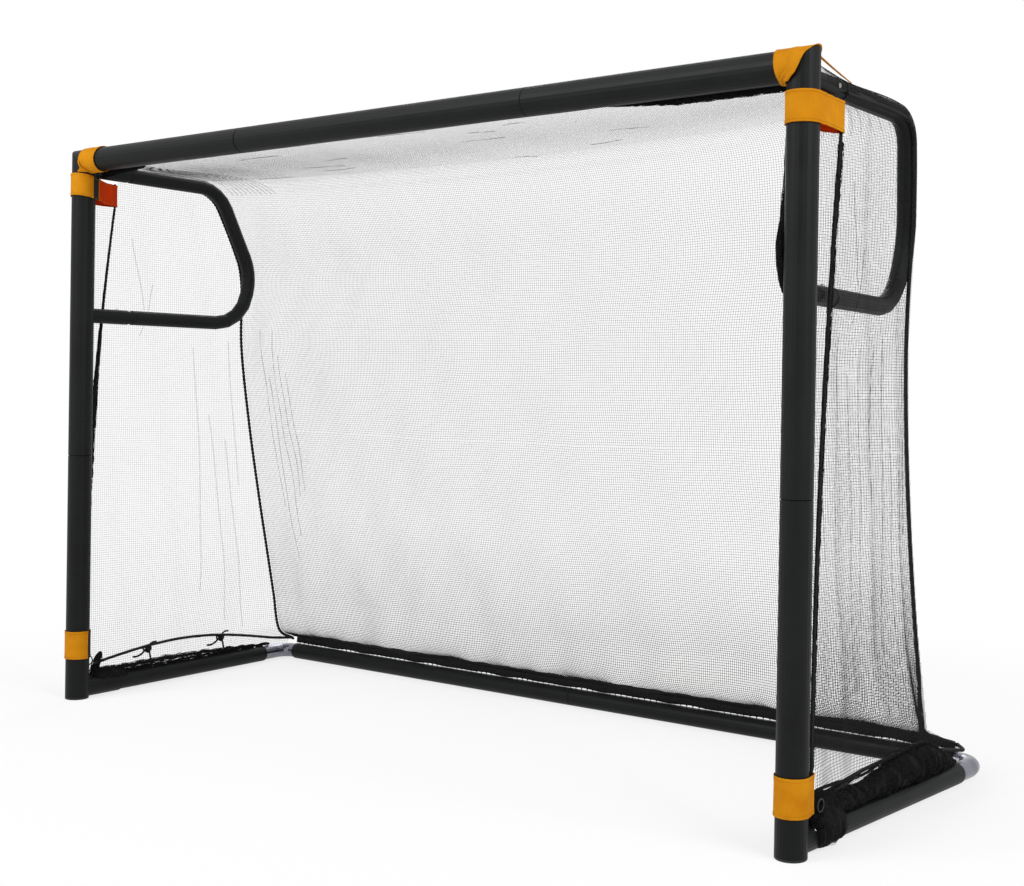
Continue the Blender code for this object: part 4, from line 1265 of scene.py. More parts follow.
@dataclass(frozen=True)
class Bunch:
    """Net that is bunched up on a line: a dense, lumpy heart and loose threads over it."""

    points: Array
    first: Array
    second: Array
    heart: Array | float
    seed: int
    threads: int = 14
    thread: float = 0.7 * MM
    spread: float = 1.25
    rough: float = 0.075
    sides: int = 14
    wander: float = 14 * MM

    def skin(self) -> Skin:
        """The heart, as wide as is given, and the threads that stand out of it."""
        numbers = np.random.default_rng(self.seed)
        place = lengths_along(self.points)
        count = max(int(place[-1] / (3 * MM)), 8)
        where = np.linspace(0, place[-1], count)
        line = Route(self.points).at(where / place[-1])
        heart = np.interp(where, place, np.broadcast_to(self.heart, len(place)))
        heart = heart * np.minimum(1, (0.25 + np.minimum(where, place[-1] - where) / (6 * MM)))
        angle = round_angles(self.sides)
        lumps = np.zeros((count, self.sides))
        for _ in range(8):
            turns, rate = numbers.integers(1, 5), numbers.uniform(40, 420)
            lumps += np.sin(where[:, None] * rate + turns * angle[None] + numbers.uniform(0, 6.3))
        size = heart[:, None] * (0.86 + self.rough * lumps)
        around = turned(angle, self.first, self.second)
        skins = [ring_skin(line[:, None] + size[..., None] * around[None])]
        paths = []
        for _ in range(self.threads):
            marks = np.linspace(0, place[-1], max(int(place[-1] / self.wander), 3))
            turn = np.interp(where, marks, np.cumsum(numbers.normal(0, 0.9, len(marks))))
            turn = turn + numbers.uniform(0, math.tau)
            out = heart * np.interp(where, marks, numbers.uniform(0.85, self.spread, len(marks)))
            paths.append(line + out[:, None] * turned(turn, self.first, self.second))
        skins.append(thread_skin(np.array(paths), self.thread / 2))
        return joined(skins)


@dataclass
class EdgeCords:
    """The cords sewn into the net's edges at one end."""

    side: Side

    def build(self) -> None:
        """Makes the seam cord, the front cord and the ground cord."""
        side = self.side
        top = LINES.front_head + (0.048 if side is Side.RIGHT else 0.054) - 3 * MM
        # The gathering cord runs on to the seam's foot, where the net's corner is tied.
        ground = np.vstack([LINES.ground(side), LINES.seam(side)[-1] + UP * 2 * MM])
        for word, line, radius in (
            ("seam", LINES.seam(side), LINES.seam_cord_radius),
            ("front", LINES.front(side, np.linspace(0.070, top, 40)), LINES.cord_radius),
            ("ground", ground, LINES.ground_cord_radius),
        ):
            route = Route(line)
            piece = braid(route, radius).piece(
                side.node(f"cord_{word}"), Look.WEBBING, stands_for=side.node(f"{word}_cord")
            )
            say_cord(piece, route, radius, "object", "taut", step=10 * MM, digits=3)


@dataclass
class NetBunches:
    """Where the net is drawn together at one end: along its cords, at the post and feet."""

    side: Side

    def edge(self) -> list[Bunch]:
        """The net gathered on the front cord, and its bulge behind the right post."""
        if self.side is Side.LEFT:
            height = np.linspace(0.150, 1.080, 60)
            width = MM * np.interp(height, (0.15, 0.6, 0.85, 1.0), (4.6, 4.4, 1.8, 1.2))
            line = LINES.front(self.side, height, -1 * MM)
            return [Bunch(line, X_AXIS * 0.8, Y_AXIS * 1.8, width, seed=11, threads=20,
                          spread=1.15)]
        height = np.linspace(0.126, 1.075, 60)
        width = 3.2 * MM + 1.6 * MM * (height - 0.126) / (1.075 - 0.126)
        gather = LINES.front(self.side, height, 3 * MM)
        z = np.linspace(0.835, 1.080, 50)
        aside = 18 * MM + MM * np.interp(
            z, (0.835, 0.860, 0.888, 0.914, 0.952, 0.979, 1.0, 1.08),
            (0.0, 8.0, 11.5, 12.0, 6.5, 5.5, 2.7, 0.0),
        )
        behind = np.sqrt((32.5 * MM) ** 2 - aside**2)
        # As the camera sees the post: so far to its left, and behind it.
        left, away = (-0.887, -0.461), (-0.461, 0.887)
        x, y = (aside * a + behind * b for a, b in zip(left, away))
        bulge = together(POST_X + x, y, z)
        return [
            Bunch(gather, X_AXIS * 0.8, Y_AXIS * 1.1, width, seed=11, threads=12),
            Bunch(bulge, X_AXIS, Y_AXIS, 7 * MM, seed=17, threads=40, thread=0.6 * MM,
                  spread=1.12, rough=0.035),
        ]

    def foot(self) -> list[Bunch]:
        """The net gathered on the side tube and up to the ground cord."""
        if self.side is Side.LEFT:
            x, reach, _ = LINES.ground(self.side).T
            top = LINES.side_axis(self.side, reach)[:, 2] + LINES.side_radius
            place = lengths_along(together(x, reach, top))
            wave = np.sin(place * 160) + 0.7 * np.sin(place * 97 + 1)
            share = shares(len(reach))
            rise = np.interp(share, (0.0, 0.4, 0.75, 1.0), (11.0, 12.0, 8.0, 3.0))
            low = together(x, reach, top + (2.6 + 0.5 * wave) * MM)
            high = together(x, reach, top + (rise + wave) * MM)
            return [
                Bunch(low, X_AXIS * 1.3, UP, 2.4 * MM, seed=23, threads=16,
                      thread=0.8 * MM, spread=1.8),
                Bunch(high, X_AXIS * 1.3, UP, 0.32 * rise * MM, seed=24, threads=34,
                      thread=0.8 * MM, spread=2.1),
            ]
        band = np.array([
            (0.890, 0.032, 0.094), (0.893, 0.082, 0.0945), (0.894, 0.150, 0.0895),
            (0.896, 0.218, 0.0880), (0.898, 0.255, 0.0950), (0.900, 0.350, 0.0995),
            (0.902, 0.440, 0.0950), (0.905, 0.500, 0.0690), (0.907, 0.548, 0.0460),
        ])
        reach = np.linspace(0.035, 0.552, 60)
        route = Route(band).at(shares(200))
        tube = LINES.side_axis(self.side, reach)
        top = tube[:, 2] + LINES.side_radius
        part = np.interp(reach, (0.03, 0.12, 0.20, 0.30, 0.36), (0.95, 0.78, 0.76, 0.88, 1.0))
        tall = np.interp(reach, route[:, 1], route[:, 2]) - top
        tall = 0.5 * np.maximum(tall, 5 * MM) * part
        line = together(tube[:, 0] + 4 * MM, reach, top + tall * 0.95)
        return [
            Bunch(line, X_AXIS * 0.7, UP, tall, seed=23, threads=44, thread=0.8 * MM,
                  spread=1.07, rough=0.05),
            Bunch(band, X_AXIS, UP, np.array((2.2,) * 5 + (3.5,) * 4) * MM, seed=27),
        ]

    def sleeve(self) -> list[Bunch]:
        """The gathered cloth round the foot of the post, which hides the tube's start."""
        bundle = (
            (0.010, 0.046, 0.030, 8.0), (0.013, 0.052, 0.052, 12.0),
            (0.010, 0.058, 0.074, 12.0), (0.012, 0.066, 0.092, 6.0),
        )
        sheath = (
            (0.008, 0.040, 0.0345, 27.0), (0.009, 0.060, 0.0345, 34.0),
            (0.010, 0.088, 0.0345, 36.0), (0.009, 0.112, 0.0315, 32.0),
            (0.008, 0.134, 0.0265, 24.0),
        )
        lines, widths = [], []
        for rows in (bundle, sheath):
            out, reach, height, width = np.array(rows).T
            lines.append(together(self.side.sign * (POST_X + out), reach, height))
            widths.append(width * MM)
        if self.side is Side.LEFT:
            widths = [0.8 * widths[0], 0.72 * widths[1]]
        return [
            Bunch(lines[0], X_AXIS, Y_AXIS + 0.5 * UP, widths[0], seed=31, threads=26),
            Bunch(lines[1], X_AXIS * 0.95, UP, widths[1], seed=37, threads=24, spread=0.98,
                  rough=0.025, sides=24),
        ]

    def hem_ends(self) -> list[Bunch]:
        """The roof gathered under the crossbar, near this end."""
        if self.side is Side.LEFT:
            x, size = np.linspace(0.850, 0.700, 30), np.linspace(9.0, 2.5, 30)
        else:
            x = np.linspace(0.846, 0.500, 60)
            size = np.interp(x, (0.500, 0.640, 0.846), (0.8, 6.2, 6.2))
        z = LINES.bar_height - 17 * MM - size * MM
        line = together(self.side.sign * x, 29 * MM, z)
        return [Bunch(line, Y_AXIS * 0.5, UP, size * MM, seed=41, threads=22,
                      thread=0.6 * MM)]

    def build(self) -> None:
        """Makes every bunch and the round mouth of the sleeve, from which its cord comes."""
        for name, bunches in (
            ("net_front_gather", self.edge()), ("net_foot_gather", self.foot()),
            ("net_sleeve", self.sleeve()), ("net_bar_gather", self.hem_ends()),
        ):
            skin = joined([bunch.skin() for bunch in bunches])
            skin.piece(self.side.node(name), Look.THREAD, smooth=False)
        middle = np.array((self.side.sign * (POST_X + 0.0245), 0.046, 0.073))
        ring = middle + 9.6 * MM * turned(np.linspace(0, math.tau, 49), Y_AXIS, UP)
        tube_skin(ring, 1.3 * MM, 10).piece(self.side.node("sleeve_eyelet"), Look.PLASTIC)


# Straps


@dataclass(frozen=True)
class StrapSizes:
    """What the sewn straps have in common."""

    thickness: float = 1.6 * MM
    gap: float = 0.4 * MM
    stitch: float = 3.2 * MM
    stitch_gap: float = 1.4 * MM
    stitch_inset: float = 4.5 * MM

    @property
    def stand_off(self) -> float:
        """How far a strap's middle lies off what it goes round."""
        return self.gap + self.thickness / 2


STRAP = StrapSizes()


def hull(
    first_radius: float, second: Array, second_radius: float, spacing: float = 1.5 * MM
) -> Array:
    """The closed line of a band pulled tight round two circles.

    Args:
        first_radius: The radius of the bigger circle, whose middle is at 0, 0.
        second: The smaller circle's middle, (x, y).
        second_radius: Its radius.
        spacing: How close the points lie.

    Returns:
        The points, which start and end at the same place.
    """
    heading = math.atan2(second[1], second[0])
    lean = math.acos((first_radius - second_radius) / float(np.linalg.norm(second)))
    big = heading + np.linspace(lean, math.tau - lean, 60)
    small = heading + np.linspace(-lean, lean, 20)
    points = np.concatenate([
        first_radius * turned(big, *np.eye(2)), second + second_radius * turned(small, *np.eye(2)),
    ])
    points = np.concatenate([points, points[:1]])
    place = lengths_along(points)
    return read_line(points, place, np.linspace(0, place[-1], int(place[-1] / spacing)))


def stitched(line: Array) -> Skin:
    """A row of stitches along a line on a cloth's face."""
    route = Route(line)
    pitch = STRAP.stitch + STRAP.stitch_gap
    starts = np.arange(pitch, route.length - pitch, pitch)
    along = (starts[:, None] + np.linspace(0, STRAP.stitch, 4)[None]) / route.length
    return thread_skin(route.at(along), 0.35 * MM, 4)


@dataclass
class PostStrap:
    """A strap round a post and the net's front cord, which lies this reach behind it."""

    side: Side
    name: str
    bottom: float
    width: float
    reach: float
    creases: float
    seed: int
    slant: float = 0.0
    crease_count: int = 7
    rows: int = 25
    dark_band_from: float = 6.5 * MM
    dark_band_to: float = 25 * MM

    def paint(self, outline: Array, faces: int) -> Array:
        """Which finish each face takes.

        Args:
            outline: The strap's line round the post and the cord, (x, y).
            faces: How many faces the strap has.

        Returns:
            0 for the cloth, 1 for painted shade on its inner run and its back, and 2 for a black band just behind the
            post.
        """
        x, y = outline[:, 0] * self.side.sign, outline[:, 1]
        # Painted shade: the inner run from the post back to the cord takes the shaded copy of the cloth.
        inner = (x < LINES.front_out * 1.15) & (y > self.dark_band_to)
        # A black band on the inboard side, just behind the post.
        dark_band = (x < 0) & (y > self.dark_band_from) & (y <= self.dark_band_to)
        front = np.tile((inner[:-1] & inner[1:]) + 2 * (dark_band[:-1] & dark_band[1:]), self.rows - 1)
        # Painted shade: the back faces of the run behind the post take the shaded copy too.
        behind = np.tile(y[:-1] > 0, self.rows - 1)
        painted = np.zeros(faces)
        painted[: 2 * len(front)] = np.concatenate([front, behind])
        return painted

    def folds(self, place: Array, across: Array) -> Array:
        """How far slanting creases stand out, by the place round and the share across."""
        numbers = np.random.default_rng(self.seed)
        folds = np.zeros((across.size, place.size))
        for _ in range(self.crease_count):
            where = numbers.uniform(0, place[0, -1])
            slant = numbers.uniform(-0.35, 0.35)
            size = numbers.uniform(0.4, 1.0) * self.creases
            wide = numbers.uniform(3, 7) * MM
            away = place - where - slant * self.width * (across - 0.5)
            folds += size * np.exp(-((away / wide) ** 2))
        return folds

    def build(self) -> None:
        """Makes the strap and its stitching."""
        cord = np.array((self.side.sign * LINES.front_out, self.reach))
        outline = hull(
            LINES.post_radius + STRAP.stand_off, cord, LINES.cord_radius + STRAP.stand_off
        )
        ahead = unit(np.gradient(outline, axis=0))
        normal = together(ahead[:, 1], -ahead[:, 0])
        place = lengths_along(outline)
        round_share = place / place[-1] * math.tau
        across = shares(self.rows)[:, None]
        reach_back = np.clip((outline[:, 1] - 0.012) / (self.reach - 0.012), 0, 1)
        free = np.sin(math.pi * reach_back) ** 0.7
        ripple = 0.5 * MM * np.sin(round_share * 9 + self.seed)
        rim = np.abs(2 * across - 1) ** 6
        lift = np.maximum(self.folds(place[None], across), 0) * (0.25 + 0.75 * free[None])
        lift = lift + rim * (0.5 * MM + np.abs(ripple)[None])
        flat = outline[None] + normal[None] * lift[..., None]
        tilt = self.slant * np.clip((0.012 - outline[:, 1]) / 0.038, -1, 1)
        sway = 0.8 * MM * np.sin(round_share * 2 + self.seed)[None]
        height = self.bottom + self.width * across + tilt[None]
        height = height + sway * free[None] * (across - 0.5) * 2
        middle = together(self.side.sign * POST_X + flat[..., 0], flat[..., 1], height)
        out = together(normal[:, 0], normal[:, 1], 0.0)
        thick = STRAP.thickness * (1 - 0.35 * rim)
        skin = cloth_skin(middle, out, thick, together(place[None], self.width * across))
        skin.piece(
            self.side.node(self.name), Look.STRAP, Look.STRAP_BACK, Look.WEBBING,
            stands_for=self.side.node(self.name.replace("strap_", "") + "_strap"),
            painted=self.paint(outline, sum(len(group) for group in skin.faces)),
        )
        face = middle + out * (thick / 2)[..., None] + out * 0.15 * MM
        inset = max(int(round(STRAP.stitch_inset / self.width * (self.rows - 1))), 1)
        seams = [stitched(face[row]) for row in (inset, self.rows - 1 - inset)]
        joined(seams).piece(self.side.node(self.name + "_stitches"), Look.STITCHING)


@dataclass
class BarStrap:
    """The strap round the crossbar's end, and its tail to the net."""

    side: Side
    width: float = 36.5 * MM
    taper: float = 0.1
    turn: float = math.radians(230)
    tail_width: float = 26 * MM
    tail_over: float = 9 * MM
    tail_reach: float = 142 * MM
    tail_twist: float = 38.0

    def __post_init__(self) -> None:
        """Says how the strap lies: slipped along the bar on the left, over the mitre on the
        right. The lap's edge is given as heights in metres and reaches in millimetres."""
        self.radius = LINES.post_radius + STRAP.stand_off
        if self.side is Side.LEFT:
            self.slips = (17 * MM, 33 * MM)
            self.lap_top = -4 * MM
            self.lap_edge = ((-0.027, -0.020, 0.0), (-12.0, -18.0, -18.0))
        else:
            self.slips = (0.0, 0.0)
            self.lap_top = 14 * MM
            self.lap_edge = ((-0.027, -0.016, 0.0, 0.014), (-14.0, 0.0, 8.0, 15.3))

    def build(self) -> None:
        """Makes the ring with the tail and the lap."""
        skins = [self.ring(), self.tail(), self.lap()]
        joined(skins).piece(
            self.side.node("strap_bar"), Look.STRAP, stands_for=self.side.node("bar_strap")
        )

    def ring(self) -> Skin:
        """The part round the crossbar, which keeps clear of the loop's stub."""
        s, radius = self.side.sign, self.radius
        angle = np.linspace(0, math.tau, 121) + self.turn
        y, z = radius * np.cos(angle), radius * np.sin(angle)
        mitre = POST_X - 0.3 * MM
        drop = LINES.bar_height + z - LINES.loop_top
        clear = LINES.loop_radius + 1.4 * MM
        beside = np.sqrt(np.maximum(clear**2 - drop**2, 0))
        near_stub = (y > 0) & (np.abs(drop) < clear)
        outer = np.where(near_stub, np.minimum(mitre + z, POST_X - beside), mitre + z)
        inner = mitre - self.width - self.taper * z
        if self.side is Side.LEFT:
            outer = np.minimum(outer, POST_X - self.slips[0])
            inner = inner - self.slips[1]
        inner = np.minimum(inner, outer - 10 * MM)
        share = shares(21)[:, None]
        x = inner[None] + (outer - inner)[None] * share
        pinch = np.exp(-(((angle - math.radians(270) - self.turn) % math.tau / 0.5) ** 2))
        folds = 1.9 * MM * np.maximum(
            np.sin(share * 11.0 + 2.6 * np.sin(angle[None] + 0.6) + s), 0
        ) ** 2
        rim = np.abs(2 * share - 1) ** 6
        far = radius + folds * (0.4 + 0.6 * pinch[None]) + rim * 0.5 * MM
        out = turned(angle, Y_AXIS, UP)
        middle = together(
            s * x, far * np.cos(angle)[None], LINES.bar_height + far * np.sin(angle)[None]
        )
        if s < 0:
            middle, out = middle[:, ::-1], out[::-1]
        cloth = together(radius * angle[None], self.width * share)
        return cloth_skin(middle, out, STRAP.thickness * (1 - 0.35 * rim), cloth)

    def lap(self) -> Skin:
        """The strap's loose edge, which laps over the mitre onto the front of the post."""
        clear = LINES.post_radius + STRAP.gap + 1.5 * STRAP.thickness + 1.2 * MM
        share, fall = shares(17)[None], shares(19)[:, None]
        z = self.lap_top - (26.5 * MM + self.lap_top) * fall + 0 * share
        outer = MM * np.interp(z[:, :1], *self.lap_edge)
        inner = np.minimum(np.minimum(z, 0) - 8 * MM, outer - 4 * MM)
        x = inner + (outer - inner) * share
        bar = np.sqrt(np.maximum(clear**2 - z**2, 0))
        post = np.sqrt(np.maximum(clear**2 - x**2, 0))
        crease = 1.3 * MM * np.maximum(np.sin(9 * share + 7 * fall + 0.5), 0) ** 2 * fall
        crease = crease - 1.8 * MM * np.exp(-(((fall - 1.0) / 0.06) ** 2))
        y = -np.maximum(bar, post) - crease
        middle = together(self.side.sign * (POST_X + x), y, LINES.bar_height + z)
        cloth = together(fall * 38.5 * MM, share * 30 * MM)
        if self.side is Side.LEFT:
            middle, cloth = middle[:, ::-1], cloth[:, ::-1]
        return cloth_skin(middle, -Y_AXIS, STRAP.thickness, cloth)

    def tail(self) -> Skin:
        """The flat end that leaves the ring at a tangent and goes back to the net."""
        end_z = LINES.loop_top + 14.5 * MM
        end = np.array((self.tail_reach, end_z - LINES.bar_height))
        turn = math.atan2(end[1], end[0]) + math.acos(self.radius / float(np.linalg.norm(end)))
        start = self.radius * np.array((math.cos(turn), math.sin(turn)))
        share = shares(24)
        line = start + (end - start) * share[:, None]
        line = line + np.outer(np.sin(math.pi * share), (0, -1.2 * MM))
        across = shares(9)
        up = unit(np.cross(X_AXIS, unit(np.array((0.0, *(end - start))))))
        twist = np.radians(self.tail_twist) * np.clip(share / 0.25, 0, 1)
        inward = turned(twist, -self.side.out, up)
        rest = np.array((self.side.sign * (POST_X + self.tail_over), 0.0, LINES.bar_height))
        line = rest + np.pad(line, ((0, 0), (1, 0)))
        middle = line[None] + inward[None] * self.tail_width * across[:, None, None]
        length = float(np.linalg.norm(end - start))
        cloth = together(share[None] * length, self.tail_width * across[:, None])
        if self.side is Side.RIGHT:
            middle, cloth = middle[::-1], cloth[::-1]
        return cloth_skin(middle, turned(twist, up, self.side.out), STRAP.thickness, cloth)


# Hems


@dataclass
class Hem:
    """A tape that stands on its edge, with lacing under it where it stays off its tube."""

    name: str
    stands_for: str
    half: float
    reach: float
    bottom: float
    height: float
    wave: float
    gap: float
    tape: float = 1.6 * MM

    def lacing(self) -> Skin:
        """The cord that laces the hem to its tube, in slanting stitches."""
        starts = np.arange(-self.half + 0.01, self.half - 0.02, 15 * MM)
        share = shares(5)
        lean = 5 * MM + 3 * MM * np.sin(starts * 37)
        x = starts[:, None] + lean[:, None] * share
        y = self.reach + 2.2 * MM * np.cos(share * math.tau)[None]
        z = self.bottom + 1.2 * MM + (self.gap + 4 * MM) * share[None]
        return thread_skin(together(x, y, z), 1.6 * MM, 6)

    def build(self) -> None:
        """Makes the hem."""
        x = np.linspace(-self.half, self.half, int(2 * self.half / (6 * MM)))
        share = shares(7)[:, None]
        sway = self.wave * (np.sin(x * 71) + 0.6 * np.sin(x * 143 + 1.0))
        rise = 0.8 * MM * np.sin(x * 93 + 0.5)
        fall = 1 - 0.3 * np.clip((np.abs(x) - self.half + 0.09) / 0.09, 0, 1) ** 2
        foot = self.gap * (0.55 + 0.45 * np.sin(x * 57) * np.sin(x * 13 + 1)) * fall
        middle = together(
            x[None], self.reach + sway[None] * share,
            self.bottom + foot[None] + (self.height * fall - foot + rise)[None] * share,
        )
        cloth = together(x[None], self.height * share)
        skins = [cloth_skin(middle, -Y_AXIS, self.tape, cloth)]
        if self.gap:
            skins.append(self.lacing())
        joined(skins).piece(self.name, Look.WEBBING, stands_for=self.stands_for)


@dataclass
class Tie:
    """A short cord knotted round the ground cord, above the side tube."""

    side: Side
    number: int
    reach: float
    radius: float = 2.4 * MM
    end: tuple[tuple[float, ...], ...] = ((4, 3, 0), (9, 12, 9), (12, 23, 13), (13, 34, 13))

    def build(self) -> None:
        """Makes the knot and its two loose ends."""
        node = self.side.node
        x, y, z = LINES.side_axis(self.side, self.reach)
        ground = LINES.ground(self.side, 80)
        over = ground[int(np.argmin(np.abs(ground[:, 1] - y)))]
        low, high = z + LINES.side_radius + 0.3 * MM + self.radius, over[2]
        middle = low + 0.8 * (high - low)
        angle = np.linspace(0, math.tau * 2.4, 60)
        turns = together(
            x + 4.2 * MM * np.cos(angle), y + 4.2 * MM * np.sin(angle),
            middle + 5 * MM * np.sin(angle * 0.72 + 0.4),
        )
        stem = np.array([(x, y + 12 * MM, low), (x, y + 3 * MM, middle), (over[0], y, high)])
        bows = []
        turn = np.linspace(0, math.tau, 25)
        for way, size in ((1.0, 1.0), (-1.0, 0.8)):
            reach = size * 6 * MM * (1 - np.cos(turn))
            bows.append(together(
                x + self.side.sign * (4 + 2 * np.sin(turn)) * MM,
                y + way * reach, middle + size * 5 * MM * np.sin(turn) + 0.3 * reach,
            ))
        skins = [braid(Route(line), self.radius, sides=6) for line in (turns, stem, *bows)]
        joined(skins).piece(
            node(f"tie_knot_{self.number}"), Look.WEBBING, stands_for=node(f"tie_{self.number}")
        )
        for word, way, rise in (("a", 1.0, 1.0), ("b", -0.9, -1.1)):
            steps = np.array(self.end) * (self.side.sign, way, rise) * MM
            route = Route(np.array((x, y, middle)) + steps, 1 * MM)
            tail = braid(route, self.radius, 1 * MM, 6).piece(
                node(f"tie_end_{self.number}{word}"), Look.WEBBING
            )
            say_cord(tail, route, self.radius, "bare", "loose", step=2 * MM, digits=4)


# Frame


@dataclass
class TubeFrame:
    """The rigid pieces, which keep the shapes that they come with."""

    looks: tuple[Look, ...] = (Look.COAT, Look.STEEL, Look.SPRING, Look.PLASTIC)

    def build(self) -> None:
        """Puts its real finish on every rigid piece."""
        looks = {look.value.slot: look for look in self.looks}
        for entry in frame["record"]["subparts"]:
            name = entry["node"]
            look = looks.get(entry["material_slot"])
            if name.endswith("loop_connector"):
                look = Look.COAT  # It is coated like the tubes, whatever its slot.
            if look:
                for place in frame["nodes"][name].material_slots:
                    place.material = look.material()
                LOG.info("%s: %s", name, look.value.name)


# Studio


def set_down(thing: bpy.types.Object, axes: Sequence[Array], place: Sequence[float]) -> None:
    """Puts an object into the scene with its three axes and its place."""
    rows = [(*(axis[i] for axis in axes), place[i]) for i in range(3)]
    thing.matrix_world = Matrix([*rows, (0, 0, 0, 1)])
    bpy.context.scene.collection.objects.link(thing)


@dataclass(frozen=True)
class Camera:
    """The photograph's view, fitted to the goal's own edges."""

    place: tuple[float, float, float] = (1.8795, -1.932, 0.6829)
    azimuth: float = 0.6312
    elevation: float = -0.0068
    roll: float = 0.0158
    focal: float = 1454.86
    centre: tuple[float, float] = (575.85, 404.27)
    size: tuple[int, int] = (1024, 886)
    sensor: float = 36.0

    def build(self) -> None:
        """Makes the camera and hands it to the scene."""
        az, el, c, s = self.azimuth, self.elevation, math.cos(self.roll), math.sin(self.roll)
        ahead = np.array((-math.sin(az) * math.cos(el), math.cos(az) * math.cos(el), math.sin(el)))
        right = np.array((math.cos(az), math.sin(az), 0.0))
        up = np.cross(right, ahead)
        data = bpy.data.cameras.new("camera")
        data.sensor_width = self.sensor
        data.lens = self.sensor * self.focal / self.size[0]
        data.shift_x = (self.size[0] / 2 - self.centre[0]) / self.size[0]
        data.shift_y = (self.centre[1] - self.size[1] / 2) / self.size[0]
        data.clip_start, data.clip_end = 0.01, 100.0
        camera = bpy.data.objects.new("camera", data)
        axes = (c * right + s * up, -s * right + c * up, -ahead)
        set_down(camera, axes, np.array(self.place) + ORIGIN)
        bpy.context.scene.camera = camera


@dataclass(frozen=True)
class SoftBox:
    """One large lamp with its place, size and power."""

    name: str
    place: tuple[float, float, float]
    size: float
    power: float

    def build(self) -> None:
        """Makes the lamp and turns it to the goal's middle."""
        data = bpy.data.lights.new(self.name, "AREA")
        data.shape, data.size, data.energy = "SQUARE", self.size, self.power
        back = unit(np.array(self.place) - 0.6 * UP)
        side = unit(np.cross(UP, back))
        lamp = bpy.data.objects.new(self.name, data)
        set_down(lamp, (side, np.cross(back, side), back), self.place)


@dataclass
class Studio:
    """The pale floor, the white background and the soft lamps."""

    floor_size: float = 40.0
    glow_from: float = 0.8
    glow_to: float = 2.0
    least_glow: float = 0.72
    sky: float = 0.45
    lamps: tuple[SoftBox, ...] = (
        SoftBox("key_box", (-1.2, -3.4, 3.0), size=2.2, power=95.0),
        SoftBox("side_box", (3.4, -0.8, 2.4), size=1.8, power=55.0),
        SoftBox("back_box", (-2.2, 3.0, 2.6), size=2.4, power=50.0),
    )

    def build(self) -> None:
        """Makes the floor, the world and the lamps."""
        self.floor()
        self.world()
        for lamp in self.lamps:
            lamp.build()
        bpy.context.scene.view_settings.view_transform = "Standard"

    def seen(self, tree: Tree) -> Socket:
        """One for rays of the camera, of gloss and of glass, and nothing for the others."""
        path = add_node(tree, "LightPath").outputs
        seen = path["Is Camera Ray"]
        for kind in ("Is Glossy Ray", "Is Transmission Ray"):
            links = {0: seen, 1: path[kind]}
            seen = add_node(tree, "Math", {"operation": "MAXIMUM"}, links).outputs[0]
        return seen

    def floor(self) -> None:
        """A white painted floor that keeps the goal's shadow and glows further away."""
        half = self.floor_size / 2
        mesh = bpy.data.meshes.new("floor")
        corners = [(-half, -half, 0), (half, -half, 0), (half, half, 0), (-half, half, 0)]
        mesh.from_pydata(corners, [], [(0, 1, 2, 3)])
        material, tree = new_material("white_studio_floor")
        settings = {"Color": linear("#F6F6F6"), "Roughness": 0.5}
        plain = add_node(tree, "BsdfDiffuse", settings).outputs[0]
        place = add_node(tree, "TexCoord").outputs["Object"]
        away = add_node(tree, "VectorMath", {"operation": "LENGTH"}, {0: place})
        share = add_node(
            tree, "MapRange",
            {
                "interpolation_type": "SMOOTHSTEP", "From Min": self.glow_from,
                "From Max": self.glow_to, "To Min": self.least_glow, "To Max": 1.0,
            },
            {"Value": away.outputs["Value"]},
        ).outputs["Result"]
        glow = add_node(tree, "Emission", {"Color": (1, 1, 1, 1), "Strength": 1.0}).outputs[0]
        faded = add_node(tree, "MixShader", links={0: share, 1: plain, 2: glow}).outputs[0]
        mixed = add_node(tree, "MixShader", links={0: self.seen(tree), 1: plain, 2: faded})
        add_node(tree, "OutputMaterial", links={"Surface": mixed.outputs[0]})
        mesh.materials.append(material)
        floor = bpy.data.objects.new("floor", mesh)
        bpy.context.scene.collection.objects.link(floor)
        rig.stage(floor)

    def world(self) -> None:
        """A white background for the camera and a soft, even light for the goal."""
        world = bpy.data.worlds.new("studio")
        world.use_nodes = True
        tree = world.node_tree
        tree.nodes.clear()
        strength = spread(tree, self.seen(tree), self.sky, 1.0, 0.0, 1.0)
        plain = add_node(tree, "Background", {"Color": (1, 1, 1, 1)}, {"Strength": strength})
        add_node(tree, "OutputWorld", links={"Surface": plain.outputs[0]})
        bpy.context.scene.world = world


class Part(Protocol):
    """A sub-assembly of the goal."""

    def build(self) -> None:
        """Makes its pieces."""


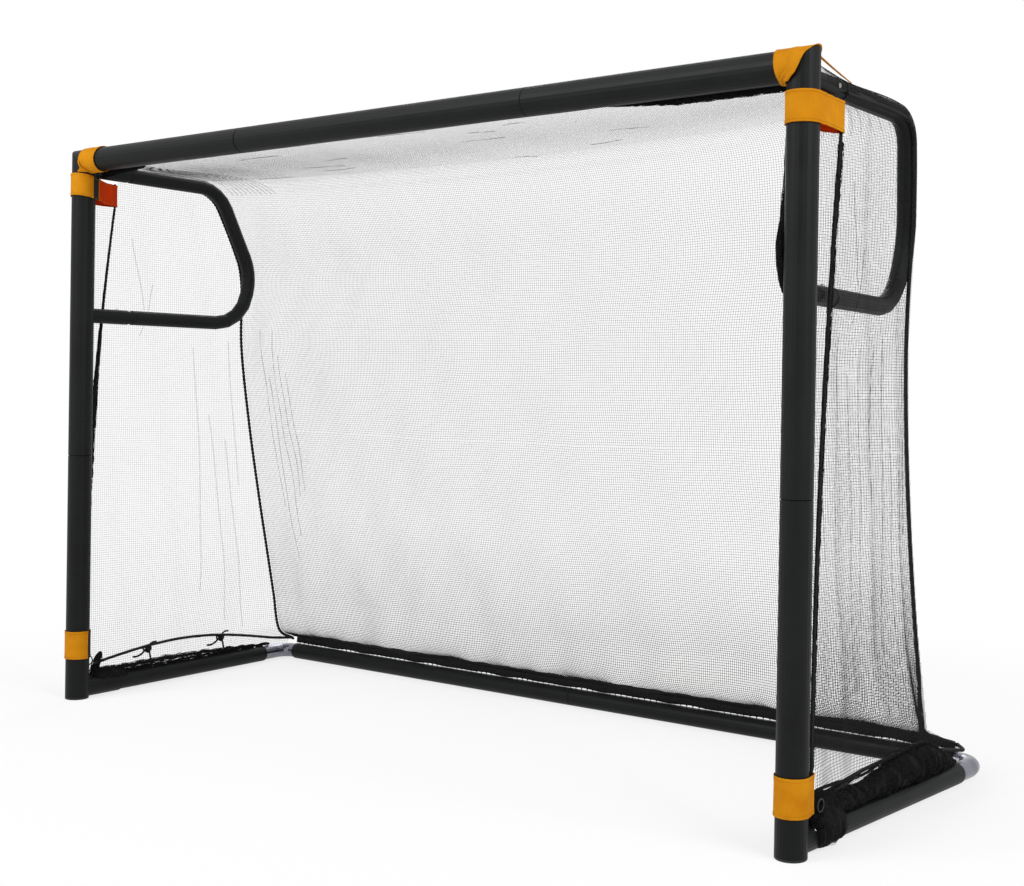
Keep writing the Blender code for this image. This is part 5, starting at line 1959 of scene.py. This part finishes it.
def straps(side: Side, post_bottom: float, foot_bottom: float, slant: float) -> list[Part]:
    """The three straps at one end, with the lower edges of those round the post."""
    return [
        PostStrap(
            side, "strap_post", bottom=post_bottom, width=0.048, reach=LINES.front_top,
            creases=1.6 * MM, seed=5, slant=slant,
        ),
        PostStrap(
            side, "strap_foot", bottom=foot_bottom, width=0.060, reach=LINES.front_low,
            creases=0.8 * MM, seed=9,
        ),
        BarStrap(side),
    ]


def goal() -> list[Part]:
    """The goal's sub-assemblies, in the order in which they are made."""
    strap_bottom = LINES.loop_top - LINES.loop_radius - 0.048
    return [
        TubeFrame(), EdgeCords(Side.LEFT), EdgeCords(Side.RIGHT),
        Hem(
            "hem_rear", "rear_hem", half=LINES.rear_x - 0.040, reach=LINES.depth,
            bottom=2 * LINES.side_radius + 0.3 * MM, height=24.5 * MM, wave=1.2 * MM,
            gap=3.4 * MM,
        ),
        Hem(
            "hem_crossbar", "crossbar_hem", half=POST_X - 0.085,
            reach=LINES.post_radius + 1.1 * MM, bottom=LINES.bar_height - 13 * MM,
            height=26 * MM, wave=0.3 * MM, gap=0.0,
        ),
        WideNet(),
        SideNet(Side.LEFT, thread=0.37 * MM, crowded=1.25, open_from=0.151, open_to=1.091),
        NetBunches(Side.LEFT),
        SideNet(Side.RIGHT, thread=0.35 * MM, crowded=2.2, open_from=0.126, open_to=1.085),
        NetBunches(Side.RIGHT),
        *straps(Side.LEFT, strap_bottom - 1 * MM, 0.089, slant=6 * MM),
        *straps(Side.RIGHT, strap_bottom - 7 * MM, 0.064, slant=0.0),
        Tie(Side.LEFT, number=1, reach=0.195), Tie(Side.LEFT, number=2, reach=0.420),
        Tie(Side.RIGHT, number=1, reach=0.113), Tie(Side.RIGHT, number=2, reach=0.144),
    ]


def main() -> None:
    """Builds the studio and the whole goal, and keeps both boxes."""
    Camera().build()
    Studio().build()
    for part in goal():
        part.build()
    model_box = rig.bounds()
    with open("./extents.json", "w") as sizes:
        json.dump({
            "cad": [list(corner) for corner in CAD_BOX],
            "model": [list(corner) for corner in model_box],
        }, sizes)


if __name__ == "__main__":
    logging.basicConfig(level=logging.INFO, format="%(name)s %(message)s")
    main()
